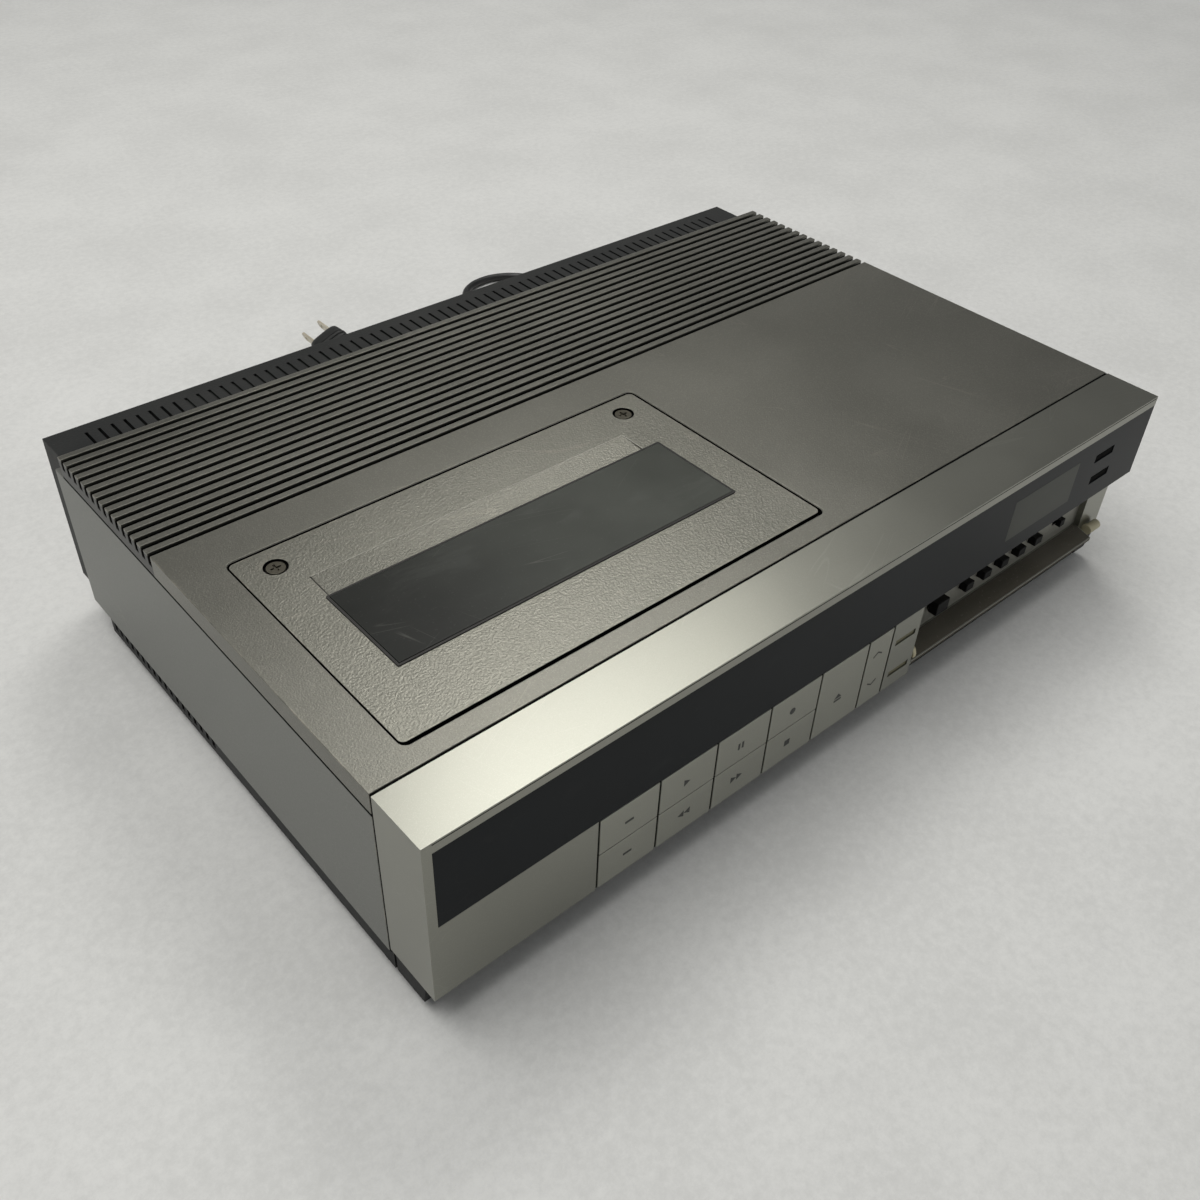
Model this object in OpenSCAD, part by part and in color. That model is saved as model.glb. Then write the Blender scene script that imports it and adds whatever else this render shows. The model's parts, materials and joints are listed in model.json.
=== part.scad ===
// Top-loading video cassette recorder, in millimetres.
// Each module is written in case coordinates: x from the left side, y from the front, z from the table.
// in_case() then puts the origin under the middle of the case, on the table.

/* [Case] */
// Width of the case
case_w = 430; // [420:1:450]
// Depth of the case, front to back
case_d = 298; // [292:1:320]
// Height of the case, feet included
case_h = 102; // [100:0.5:110]
// Thickness of the moulded walls
wall = 2.5; // [2:0.1:2.8]
// Width of the dark seams between the mouldings
seam = 1.2; // [0.8:0.1:1.6]
// Height of the rubber feet
foot_h = 5; // [4:0.5:7]
// Radius of the rubber feet
foot_r = 9; // [7:0.5:11]
// Height of the black strip along the bottom of each side
strip_h = 10.5; // [9:0.5:12]
// Distance of the black strip in from the case side
strip_inset = 1; // [0.5:0.1:1.6]
// Height of the edge of the top cover
skirt_h = 10; // [9:0.5:11]
// Height of the fascia and of the side panels above the table
lower_edge_z = 18; // [17:0.5:19]

/* [Cooling ribs] */
// Number of ribs across the back of the top cover
rib_count = 15; // [13:1:16]
// Distance from one rib to the next
rib_pitch = 5.85; // [5.6:0.05:6]
// Width of one rib
rib_w = 3.4; // [3:0.1:4]
// Depth of the grooves between the ribs
rib_depth = 5; // [4:0.25:5.5]

/* [Rear cover] */
// Depth of the rear cover where it shows behind the ribs
rear_d = 27; // [25:0.5:30]
// Distance of the rear cover in from the case side
rear_inset = 3; // [3:0.1:4]
// Distance of the rear cover below the ribs
rear_drop = 6; // [5.5:0.25:7]
// Distance from one vent slot to the next
slot_pitch = 6; // [5.5:0.1:7]
// Width of one vent slot
slot_w = 1.4; // [1:0.1:2]
// Length of one vent slot
slot_l = 13; // [10:0.5:15]

/* [Fascia] */
// Depth of the fascia, front to back
fascia_d = 27.5; // [26:0.5:30]
// Height of the light border above the dark band
border_h = 5; // [4:0.25:6]
// Width of the light border left of the dark band
border_w = 4; // [3:0.25:6]
// Height of the dark band
band_h = 39; // [38:0.5:40]
// Distance of the black plinth behind the front
plinth_inset = 7; // [6:0.5:8]
// Distance from the left side to the first key
keys_x = 75; // [70:1:80]
// Distance from one key column to the next
key_pitch = 30.3; // [29:0.1:31]
// Width of the gaps between the keys
key_gap = 1; // [0.6:0.1:1.4]
// Thickness of the key caps
key_t = 2.2; // [2:0.1:2.5]
// How far a transport key travels when pressed
key_travel = 2; // [1:0.1:2.2]
// Width of the channel rocker
rocker_w = 15.5; // [14:0.5:17]
// Width of the plain column with the two timer keys
timer_w = 19.5; // [19:0.5:22]
// Depth of the recess for the option keys
recess_d = 11; // [10:0.25:12]
// Width of the plain cheek right of the recess
cheek_w = 19; // [17:0.5:21]
// Distance of the cheek behind the front
cheek_y = 8; // [7:0.25:8.5]
// How far an option key travels when pressed
option_travel = 1.5; // [1:0.1:1.6]
// Number of option keys
option_count = 5;

/* [Cassette lid] */
// Distance from the left side to the lid opening
lid_x = 19.6; // [18:0.2:22]
// Distance from the front to the lid opening
lid_y = 38.4; // [37:0.2:40]
// Distance from the cassette holder to the side of the lid opening
lid_side = 9.2; // [9:0.1:11]
// Distance from the front of the lid to the cassette holder
lid_front = 5.4; // [5:0.1:7]
// Distance from the cassette holder to the back of the lid opening
lid_back = 7; // [6.5:0.1:9]
// Gap at the sides and the back of the lid
lid_gap = 0.9; // [0.7:0.1:1.2]
// Gap at the front of the lid
lid_front_gap = 2.2; // [1.8:0.1:2.6]
// Thickness of the lid
lid_t = 2.2; // [2:0.1:2.6]
// Width of the lid window
window_w = 169.5; // [160:0.5:172]
// Depth of the lid window
window_d = 47; // [44:0.5:50]
// Height of the window above the lid
window_rise = 0.6; // [0.4:0.1:0.8]

/* [Cassette lift] */
// Width inside the cassette holder
holder_w = 190; // [189:0.5:192]
// Depth of the cassette holder
holder_d = 108; // [106:0.5:109]
// Height inside the cassette holder
holder_h = 27.5; // [27:0.25:28]
// Thickness of the sheet metal
sheet = 1.5; // [1.2:0.1:1.6]
// Distance between the two pivots of a lift arm
arm_l = 60; // [56:0.5:62]
// Half width of a lift arm
arm_r = 4.5; // [4:0.1:5]
// Thickness of a lift arm
arm_t = 2; // [1.6:0.1:2.2]
// Radius of the lift pivots
pivot_r = 2; // [1.6:0.1:2.4]
// Running clearance around the pivots
pivot_fit = 0.1; // [0.05:0.01:0.12]
// Angle of the lift arms below level when the lid is down
arm_dip = 10; // [8:0.5:12]

/* [Tape deck] */
// Height of the deck plate above the table
deck_z = 37; // [36:0.5:38]
// Thickness of the deck plate
deck_t = 2; // [1.6:0.1:2.4]
// Radius of the head drum
drum_r = 31; // [29:0.5:32]
// Tilt of the head drum
drum_tilt = 5; // [3:0.5:6]
// Distance between the two reels
reel_gap = 92; // [90:0.5:94]
// Radius of a reel table
reel_r = 22; // [20:0.5:24]
// Radius of the capstan shaft
capstan_r = 2; // [1.5:0.1:2.5]
// Radius of the capstan flywheel
flywheel_r = 26; // [22:0.5:28]
// Radius of the pinch roller
roller_r = 7; // [6:0.25:7.5]

/* [Terminals and cord] */
// Width of the terminal plate
terminal_w = 96; // [92:1:100]
// Height of the terminal plate
terminal_h = 44; // [42:0.5:46]
// Distance between two terminals
jack_pitch = 20; // [18:0.5:21]
// Radius of a phono terminal
phono_r = 4.15; // [4:0.05:4.25]
// Radius of an aerial terminal
aerial_r = 4.75; // [4.5:0.05:5]
// Diameter of the mains lead
cord_dia = 5; // [4.6:0.1:5.4]

/* [Hidden] */
$fn = 48;

// Colours, as the object shows them
silver = [0.62, 0.61, 0.57];
bronze = [0.33, 0.32, 0.30];
dark = [0.14, 0.15, 0.15];
black = [0.05, 0.05, 0.06];
smoke = [0.10, 0.11, 0.12];
steel = [0.72, 0.73, 0.74];
board_green = [0.12, 0.30, 0.18];
ivory = [0.80, 0.76, 0.62];

// Clearances that several pieces share
rest_gap = 0.3;
slide_fit = 0.25;

// Heights of the case
tray_top = foot_h + strip_h;
skirt_z = case_h - skirt_h;
floor_t = wall;
floor_z = foot_h + floor_t;
tongue_t = 1.5;

// Places along the depth of the case
cover_y0 = fascia_d + seam;
rib_y0 = case_d - rear_d - rib_count * rib_pitch;
cover_y1 = case_d - rear_d;
rear_y0 = cover_y1 + 0.5;
side_y1 = case_d - 18;
strip_y1 = case_d - 32;
rear_z1 = case_h - rear_drop;
rib_floor_z = case_h - rib_depth;
rib_under_z = rib_floor_z - wall;
rear_wall_y = case_d - 14;
rear_wall_x = 12;
rear_z0 = lower_edge_z + 1;

// Fascia
band_z1 = case_h - border_h;
band_z0 = band_z1 - band_h;
band_t = wall;
key_z0 = lower_edge_z;
key_z1 = band_z0 - 0.6;
key_mid_z = (key_z0 + key_z1) / 2;
key_columns = 5;
rocker_x = keys_x + key_columns * key_pitch;
timer_x = rocker_x + rocker_w + key_gap;
recess_x0 = timer_x + timer_w;
recess_x1 = case_w - cheek_w;
recess_z0 = 28;
guide_y = 5.2;
guide_t = 1.5;
board_y = 16;
board_t = 1.6;
stem = 8;
timer_key_w = 13.3;
timer_key_h = 2.6;
option_key_w = 6;
option_key_h = 4.5;
option_z = (recess_z0 + band_z0) / 2 - 4;
speed_x = recess_x0 + 27.5;
mode_x = recess_x1 - 20;
option_lead = 1.58;
option_pitch = (mode_x - speed_x) / (option_count - 1 + 2 * option_lead);
option_x0 = speed_x + option_lead * option_pitch;
switch_travel = 3;
band_key_w = 15;
band_key_h = 3.8;
band_key_x = case_w - 45.5;
display_w = 52;
display_x1 = band_key_x - 14;
display_z0 = band_z0 + 9;
display_z1 = band_z1 - 8;

// Lid and lift
lid_w = holder_w + 2 * sheet + 2 * lid_side;
lid_d = lid_front_gap + lid_front + holder_d + lid_back;
lid_z1 = case_h - window_rise;
lid_z0 = lid_z1 - lid_t;
lid_mid_x = lid_x + lid_w / 2;
lid_in_x0 = lid_x + lid_gap;
lid_in_x1 = lid_x + lid_w - lid_gap;
lid_in_y0 = lid_y + lid_front_gap;
lid_in_y1 = lid_y + lid_d - lid_gap;
lid_corner_r = 2.5;
window_x0 = lid_mid_x + 0.8 - window_w / 2;
window_y0 = lid_y + 34.6;
window_y1 = window_y0 + window_d;
window_seat = 1.2;
ramp_d = 15;
ramp_depth = 0.9;
lid_screw_x = 15.2;
lid_screw_y = 11.6;
holder_z1 = lid_z0;
holder_z0 = holder_z1 - holder_h - 2 * sheet;
holder_y0 = lid_in_y0 + lid_front;
holder_y1 = holder_y0 + holder_d;
holder_out_w = holder_w + 2 * sheet;
holder_x0 = lid_mid_x - holder_out_w / 2;
holder_x1 = lid_mid_x + holder_out_w / 2;
arm_gap = 1.8;
arm_x = holder_out_w / 2 + arm_gap;
arm_step = arm_t + 1;
spring_l = 3.6;
bracket_x = arm_x + arm_step + arm_t + 4.2;
pivot_z = holder_z0 + 5;
front_pivot_y = holder_y0 + 6;
rear_pivot_y = front_pivot_y + 50;
arm_dy = arm_l * cos(arm_dip);
arm_dz = arm_l * sin(arm_dip);
bracket_y0 = front_pivot_y + arm_dy - 10;
bracket_y1 = rear_pivot_y + arm_dy + 7;
bracket_z1 = pivot_z + arm_dz + 6;
lever_x = keys_x + 4.5 * key_pitch;
lever_t = 3;
lever_y = holder_y0 - 7.5;
lever_w = 4;
lever_pivot_z = deck_z + 24;
lever_low = 18;
lever_high = 14;

// Tape deck
deck_x0 = 14;
deck_x1 = lid_x + lid_w + 10;
deck_y0 = fascia_d + 8;
deck_y1 = case_d - 36;
deck_top = deck_z + deck_t;
pillar_r = 5;
pillar_inset = 12;
reel_y = holder_y0 + 52;
reel_z = deck_top + 4;
spindle_top = holder_z0 + 12;
shaft_r = 3;
shaft_fit = 0.1;
drum_y = holder_y1 + 52;
drum_z = deck_top + 21;
lower_drum_h = 17;
upper_drum_h = 16;
capstan_x = lid_mid_x + 75;
capstan_y = holder_y1 + 12;
flywheel_z = 20;
pinch_x = capstan_x + 22;
pinch_y = capstan_y;
roller_dx = -8;
roller_dy = 12;
post_reach = 42;
post_y = holder_y1 + 8;
post_travel = 38;
post_r = 3;
board_boss_h = 5;
main_board_z = floor_z + board_boss_h;
boss_r = 3;
boss_y = [deck_y0 + 52, deck_y0 + 100];
tuner_w = 96;
tuner_d = 46;
tuner_h = 26;
tuner_y = cover_y0 + 46;
chip_h = 4;
chip_w = 30;
chip_d = 12;
signal_y1 = tuner_y + tuner_d + 23;
core_w = 54;
core_d = 40;
core_h = 48;
winding_h = 32;
winding_d = 6;
frame_t = 2;
supply_d = 72;
supply_gap = 6;
can_r = 11;
can_h = 36;
sink_h = 44;
fin_w = 2;
fin_d = 12;

// Terminals
terminal_mid_x = case_w - 88;
terminal_mid_z = 50;
terminal_y = case_d - 13;
terminal_t = 1.5;
gland_x = case_w - 22;
gland_z = 30;
gland_r = 6;
gland_out = 16;
gland_tip_r = 3.4;

// The lead: points on the table behind the case, in case coordinates
cord_r = cord_dia / 2;
lead_route = [
    [408, 314.1, 30], [408, 322, 29.7], [408, 332, 26.6], [408, 343, 19.6], [408, 354, 11.4],
    [408, 365, 5], [408, 377, 2.5], [408, 393, 2.5], [406, 411, 2.5], [399, 430, 2.5],
    [388, 447, 2.5], [375, 456, 2.5], [360, 458, 2.5], [346, 453, 2.5], [336, 441, 2.5],
    [329, 425, 2.5], [323, 407, 2.5], [319, 390, 2.5], [317, 375, 2.5]];
tail_route = [
    [271, 336, 6.2], [257, 337.5, 3.8], [244, 341, 2.5], [234, 349, 2.5], [227, 360, 2.5],
    [223, 373, 3], [221.5, 385, 6.5], [221.5, 395, 11], [221.5, 401, 13.1], [221.5, 407.9, 13.1]];
coil_x = 282;
coil_y = 372;
coil_in_r = 17.5;
coil_out_r = 37.5;
coil_h = 10;
plug_x = 221.5;
plug_y = 408;
plug_z = 13.1;
plug_roll = 35;
plug_l = 30;
plug_w = 24;
plug_t = 15;
blade_l = 16;
blade_w = 6.3;
blade_t = 1.5;
blade_gap = 12.7;

// Moves case coordinates to the model's own frame
module in_case() translate([-case_w / 2, -case_d / 2, 0]) children();

// A box from its lowest corner to its highest
module block(a, b) translate(a) cube(b - a);

// A flat outline with round corners
module round_rect(a, b, r) {
    translate([a[0] + r, a[1]]) square([b[0] - a[0] - 2 * r, b[1] - a[1]]);
    translate([a[0], a[1] + r]) square([b[0] - a[0], b[1] - a[1] - 2 * r]);
    for (x = [a[0] + r, b[0] - r], y = [a[1] + r, b[1] - r]) translate([x, y]) circle(r);
}

// A level plate with round corners
module round_plate(a, b, r) {
    translate([0, 0, a[2]]) linear_extrude(b[2] - a[2]) round_rect([a[0], a[1]], [b[0], b[1]], r);
}

// Rods along each axis from a point
module rod_x(p, r, l) translate(p) rotate([0, 90, 0]) cylinder(r = r, h = l);
module rod_y(p, r, l) translate(p) rotate([-90, 0, 0]) cylinder(r = r, h = l);
module rod_z(p, r, l) translate(p) cylinder(r = r, h = l);

// Mirrors a piece of the left side to the right side
module right_side() translate([case_w, 0, 0]) mirror([1, 0, 0]) children();

// Draws children on both sides of the lid's middle
module both_lift_sides() {
    translate([lid_mid_x, 0, 0]) {
        children();
        mirror([1, 0, 0]) children();
    }
}

// Middles of the deck pillars
function pillars() = [for (x = [deck_x0 + pillar_inset, deck_x1 - pillar_inset],
    y = [deck_y0 + pillar_inset, deck_y1 - pillar_inset]) [x, y]];

// Middles of the feet
function foot_places() = [for (x = [34, case_w - 34], y = [cover_y0 + 22, strip_y1 - 20]) [x, y]];

screw_r = 1.6;
screw_fit = 0.1;
head_r = 3.4;
head_h = 1.6;

module tray_vents() {
    vent_count = 18;
    vent_pitch = 5.6;
    vent_w = 2.6;
    for (i = [0 : vent_count - 1]) {
        y = strip_y1 - 4 - i * vent_pitch;
        block([-1, y - vent_w, floor_z + 1], [strip_inset + 2 * wall, y, tray_top - 1]);
    }
}

module base_tray() {
    tongue_x = rear_wall_x;
    color(black) in_case() difference() {
        union() {
            block([strip_inset, fascia_d, foot_h], [case_w - strip_inset, strip_y1, floor_z]);
            block([tongue_x, plinth_inset + wall, foot_h], [case_w - tongue_x, fascia_d, floor_z]);
            block([rear_wall_x, strip_y1, foot_h], [case_w - rear_wall_x, rear_wall_y, floor_z]);
            block([rear_wall_x, rear_wall_y - wall, foot_h], [case_w - rear_wall_x, rear_wall_y, rear_z0]);
            for (x = [strip_inset, case_w - strip_inset - wall])
                block([x, fascia_d, foot_h], [x + wall, strip_y1, tray_top]);
            for (p = pillars()) rod_z([p[0], p[1], foot_h], pillar_r, deck_z - foot_h);
            for (x = [deck_x0 + pillar_inset, deck_x1 - pillar_inset, deck_x1 + 16, case_w - 26], y = boss_y)
                rod_z([x, y, foot_h], boss_r, main_board_z - foot_h);
        }
        tray_vents();
        right_side() tray_vents();
        for (p = pillars()) {
            rod_z([p[0], p[1], foot_h - 1], screw_r + screw_fit, deck_z);
            rod_z([p[0], p[1], foot_h - 1], head_r + slide_fit, head_h + 1.2);
        }
        for (p = foot_places()) rod_z([p[0], p[1], foot_h - 1], foot_r / 3 + screw_fit, floor_t + 2);
    }
}

module feet() {
    color(black) in_case() for (p = foot_places()) {
        difference() {
            rod_z([p[0], p[1], 0], foot_r, foot_h);
            rod_z([p[0], p[1], -1], foot_r / 3, foot_h / 2);
        }
        rod_z([p[0], p[1], foot_h], foot_r / 3, floor_t);
    }
}

module case_screws() {
    color(steel) in_case() for (p = pillars()) {
        rod_z([p[0], p[1], foot_h], head_r, head_h);
        rod_z([p[0], p[1], foot_h], screw_r, deck_top - foot_h);
    }
}

module side_panel() {
    block([0, cover_y0, tray_top], [wall, side_y1, skirt_z - seam]);
    block([wall, cover_y0 + wall + rest_gap, skirt_z - seam - 12],
        [wall + tongue_t, cover_y1 - wall - rest_gap, rib_under_z]);
}

module left_side_panel() color(bronze) in_case() side_panel();

module right_side_panel() color(bronze) in_case() right_side() side_panel();

module lid_hole(z0, z1) {
    round_plate([lid_x, lid_y, z0], [lid_x + lid_w, lid_y + lid_d, z1], lid_corner_r + lid_gap);
}

module top_cover() {
    color(bronze) in_case() difference() {
        block([0, cover_y0, skirt_z], [case_w, cover_y1, case_h]);
        block([wall, cover_y0 + wall, skirt_z - 1], [case_w - wall, rib_y0, case_h - wall]);
        block([wall, rib_y0 - 1, skirt_z - 1], [case_w - wall, cover_y1 - wall, rib_under_z]);
        lid_hole(skirt_z, case_h + 1);
        for (i = [0 : rib_count - 1]) {
            y = rib_y0 + i * rib_pitch;
            block([-1, y, rib_floor_z], [case_w + 1, y + rib_pitch - rib_w, case_h + 1]);
        }
    }
}

module rear_slots(z0, z1) {
    count = floor((case_w - 2 * rear_inset - 24) / slot_pitch);
    x0 = case_w / 2 - (count - 1) * slot_pitch / 2;
    for (i = [0 : count - 1]) {
        x = x0 + i * slot_pitch;
        deep = i < 8 || i > count - 14 ? wall + 1 : wall / 2;
        block([x - slot_w / 2, case_d - 7 - slot_l, rear_z1 - deep], [x + slot_w / 2, case_d - 7, rear_z1 + 1]);
    }
}

module rear_louvres() {
    louvre_count = 22;
    louvre_pitch = 8;
    for (i = [0 : louvre_count - 1]) {
        x = 40 + i * louvre_pitch;
        block([x, case_d - wall - 1, 34], [x + 2.6, case_d + 1, 80]);
    }
}

module terminal_window(grow, y0, y1) {
    block([terminal_mid_x - terminal_w / 2 - grow, y0, terminal_mid_z - terminal_h / 2 - grow],
        [terminal_mid_x + terminal_w / 2 + grow, y1, terminal_mid_z + terminal_h / 2 + grow]);
}

module rear_cover() {
    x0 = rear_inset;
    x1 = case_w - rear_inset;
    color(dark) in_case() difference() {
        union() {
            difference() {
                block([x0, rear_y0, rear_z0], [x1, case_d, rear_z1]);
                block([x0 + wall, rear_y0 - 1, rear_z0 + wall], [x1 - wall, case_d - wall, rear_z1 - wall]);
            }
            terminal_window(2, terminal_y, case_d - wall / 2);
            rod_y([gland_x, case_d - 8, gland_z], gland_r + 4, 8 - wall / 2);
        }
        terminal_window(-3, terminal_y - 1, case_d + 1);
        terminal_window(0, terminal_y + terminal_t, case_d + 1);
        rod_y([gland_x, case_d - 12, gland_z], gland_r - 1.8, 14);
        rod_y([gland_x, case_d - 5, gland_z], gland_r, 10);
        rear_slots();
        rear_louvres();
    }
}

module recess_ledge() {
    lip = 1.6;
    drop = 3;
    translate([recess_x0, 0, 0]) rotate([90, 0, 90]) linear_extrude(recess_x1 - recess_x0)
        polygon([[0, recess_z0 - drop - lip], [0, recess_z0 - drop], [recess_d, recess_z0],
            [recess_d + wall, recess_z0], [recess_d + wall, recess_z0 - drop - lip]]);
}

module front_fascia() {
    cheek_x1 = case_w - wall;
    stem_half = stem / 2 + slide_fit;
    color(silver) in_case() difference() {
        union() {
            // top, left side, right side and bottom flange
            block([0, 0, case_h - wall], [case_w, fascia_d, case_h]);
            block([0, 0, lower_edge_z], [wall, fascia_d, case_h]);
            block([cheek_x1, band_t, band_z0], [case_w, fascia_d, case_h]);
            block([cheek_x1, cheek_y, lower_edge_z], [case_w, fascia_d, case_h]);
            block([0, plinth_inset, lower_edge_z], [case_w, fascia_d, lower_edge_z + wall]);
            // borders around the band, and the wall behind it
            block([0, 0, band_z1], [case_w, band_t, case_h]);
            block([0, 0, band_z0], [border_w, band_t, band_z1]);
            block([0, band_t, band_z0], [case_w, 2 * band_t, case_h]);
            // lower front left of the keys and around the timer keys
            block([0, 0, lower_edge_z], [keys_x - key_gap, wall, band_z0]);
            block([0, 0, lower_edge_z], [keys_x - key_gap, plinth_inset + wall, lower_edge_z + wall]);
            block([timer_x, 0, lower_edge_z], [recess_x0, wall, band_z0]);
            block([timer_x, 0, lower_edge_z], [recess_x0, plinth_inset + wall, lower_edge_z + wall]);
            for (x = [[0, keys_x - key_gap], [timer_x, recess_x0]])
                block([x[0], band_t, band_z0 - wall], [x[1], 2 * band_t, band_z0]);
            // guide for the key stems, with its side, top and bottom returns
            block([keys_x - key_gap - wall, guide_y, lower_edge_z], [recess_x0, plinth_inset + wall, lower_edge_z + wall]);
            block([keys_x - key_gap - wall, guide_y, lower_edge_z], [recess_x0, guide_y + guide_t, band_z0]);
            block([keys_x - key_gap - wall, 0, lower_edge_z], [keys_x - key_gap, guide_y + guide_t, band_z0]);
            block([timer_x, 0, lower_edge_z], [timer_x + 1.2, guide_y + guide_t, band_z0]);
            block([keys_x - key_gap - wall, band_t, band_z0], [recess_x0, guide_y + guide_t, band_z0 + wall]);
            // recess walls, ledge and right cheek
            block([recess_x0 - 2, 0, lower_edge_z], [recess_x0, recess_d + wall, band_z0]);
            block([recess_x0 - 2, band_t, band_z0], [recess_x0, recess_d + wall, band_z0 + wall]);
            block([recess_x1, cheek_y, lower_edge_z], [recess_x1 + 2, recess_d + wall, band_z0 + 1]);
            block([recess_x1, cheek_y, lower_edge_z], [case_w, cheek_y + wall, band_z0 + 1]);
            block([recess_x0, band_t, band_z0], [case_w, recess_d + wall, band_z0 + wall]);
            recess_ledge();
            block([recess_x0, recess_d, lower_edge_z], [recess_x1, recess_d + wall, recess_z0 - 3]);
            // posts that carry the key board
            for (x = [keys_x - 12, recess_x1 + 8], z = [band_z0 + 4, band_z1 - 4])
                rod_y([x, 2 * band_t - 1, z], 3, board_y - 2 * band_t + 1);
        }
        // hairline groove along the top of the front
        block([border_w, -1, case_h - 1.1], [case_w + 1, 0.3, case_h - 0.8]);
        // stems of the ten transport keys
        for (i = [0 : key_columns - 1], z = [(key_z0 + key_mid_z) / 2, (key_mid_z + key_z1) / 2]) {
            x = keys_x + (i + 0.5) * key_pitch;
            if (i < key_columns - 1)
                block([x - stem_half, guide_y - 0.5, z - stem_half], [x + stem_half, guide_y + guide_t + 0.5, z + stem_half]);
        }
        block([lever_x - stem_half, guide_y - 0.5, key_mid_z - stem_half],
            [lever_x + stem_half, guide_y + guide_t + 0.5, key_mid_z + stem_half]);
        // timer keys
        for (z = timer_zs()) block([timer_key_x() - slide_fit, -1, z - timer_key_h / 2 - slide_fit],
            [timer_key_x() + timer_key_w + slide_fit, guide_y + guide_t + 1, z + timer_key_h / 2 + slide_fit]);
        // band keys and the clock tube
        for (z = band_key_zs()) band_key_cut(z, -1, recess_d + wall + 1);
        display_cut(band_t - 0.5, 2 * band_t + 1);
    }
}

// Middle heights of the two timer keys
function timer_zs() = [key_z0 + 8.7, key_mid_z + 7.9];

// Left end of the timer keys
function timer_key_x() = timer_x + (timer_w - timer_key_w) / 2 + 0.2;

// Middle heights of the two band keys
function band_key_zs() = [band_z0 + 13.3, band_z0 + 26.4];

module band_key_cut(z, y0, y1) {
    shift = z > band_z0 + 20 ? 0 : 2;
    block([band_key_x + shift - slide_fit, y0, z - band_key_h / 2 - slide_fit],
        [band_key_x + shift + band_key_w + slide_fit, y1, z + band_key_h / 2 + slide_fit]);
}

module display_cut(y0, y1) {
    grow = 1;
    block([display_x1 - display_w - grow, y0, display_z0 - grow], [display_x1 + grow, y1, display_z1 + grow]);
}

module front_plinth() {
    lean = 2;
    color(black) in_case() difference() {
        translate([strip_inset, 0, 0]) rotate([90, 0, 90]) linear_extrude(case_w - 2 * strip_inset)
            polygon([[plinth_inset + lean, foot_h], [plinth_inset, lower_edge_z],
                [fascia_d - seam, lower_edge_z], [fascia_d - seam, foot_h]]);
        block([rear_wall_x - 0.5, 0, foot_h - 1], [case_w - rear_wall_x + 0.5, fascia_d, floor_z]);
        block([rear_wall_x - 0.5, plinth_inset + lean + wall, foot_h - 1],
            [case_w - rear_wall_x + 0.5, fascia_d - seam - wall, lower_edge_z - wall]);
        block([rear_wall_x - 0.5, fascia_d - seam - wall - 1, foot_h - 1],
            [case_w - rear_wall_x + 0.5, fascia_d, floor_z]);
    }
}

module front_band() {
    color(smoke) in_case() difference() {
        block([border_w, 0, band_z0], [case_w, band_t, band_z1]);
        for (z = band_key_zs()) band_key_cut(z, -1, band_t + 1);
    }
}

// Slot or key section in the recess panel, around a middle point
module panel_cut(x, z, w, h) {
    block([x - w / 2 - slide_fit, recess_d - 1, z - h / 2 - slide_fit],
        [x + w / 2 + slide_fit, recess_d + wall + 1, z + h / 2 + slide_fit]);
}

module recess_panel() {
    panel_t = wall - 0.5;
    color(silver) in_case() difference() {
        block([recess_x0, recess_d, recess_z0], [recess_x1, recess_d + panel_t, band_z0]);
        for (i = [0 : option_count - 1])
            panel_cut(option_x0 + i * option_pitch, option_z, option_key_w, option_key_h);
        panel_cut(speed_x, option_z, 4 + 2 * switch_travel, 3);
        panel_cut(mode_x, option_z, 3 + 2 * switch_travel, 2.4);
    }
}

module hinge_stubs() {
    stub_z = recess_z0 - 3;
    color(ivory) in_case() {
        rod_x([recess_x1 + 4, cheek_y - 3, stub_z], 2.6, 9);
        block([recess_x1 + 4, cheek_y - 3, stub_z - 2], [recess_x1 + 8, cheek_y, stub_z + 1]);
        translate([recess_x0, 3.6, recess_z0 + 0.6]) cube([2.4, 2.6, 7]);
    }
}

module terminal_plate() {
    x_of = [-1.5, -0.5, 0.5, 1.5];
    color(steel) in_case() {
        difference() {
            terminal_window(-slide_fit, terminal_y + terminal_t, terminal_y + 2 * terminal_t);
            for (i = x_of) rod_y([terminal_mid_x + i * jack_pitch, terminal_y, terminal_mid_z - 9], 1.65, 4);
        }
        for (i = x_of) translate([terminal_mid_x + i * jack_pitch, terminal_y + 2 * terminal_t, terminal_mid_z - 9])
            rotate([-90, 0, 0]) difference() {
                cylinder(r = phono_r, h = 8);
                translate([0, 0, -1]) cylinder(r = 1.65, h = 10);
            }
        for (i = [-1.5, -0.5]) translate([terminal_mid_x + i * jack_pitch, terminal_y + 2 * terminal_t, terminal_mid_z + 11])
            rotate([-90, 0, 0]) cylinder(r = aerial_r, h = 9);
    }
}

module cord_gland() {
    color(black) in_case() difference() {
        union() {
            rod_y([gland_x, case_d - 12, gland_z], gland_r - 2, 12);
            translate([gland_x, case_d, gland_z]) rotate([-90, 0, 0])
                cylinder(r1 = gland_r - 1, r2 = gland_tip_r, h = gland_out);
            rod_y([gland_x, case_d - 5, gland_z], gland_r - slide_fit, 5);
        }
        rod_y([gland_x, case_d - 13, gland_z], cord_r + slide_fit, 16);
    }
}

// Joins rings of points into one closed tube
function ring(p, d, r, n) = let (
        side = cross(d, [0, 0, 1]) / norm(cross(d, [0, 0, 1])),
        up = cross(side, d))
    [for (k = [0 : n - 1]) p + r * (cos(360 * k / n) * side + sin(360 * k / n) * up)];
function unit(v) = v / norm(v);
function heading(path, i) = unit(path[min(i + 1, len(path) - 1)] - path[max(i - 1, 0)]);
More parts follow.
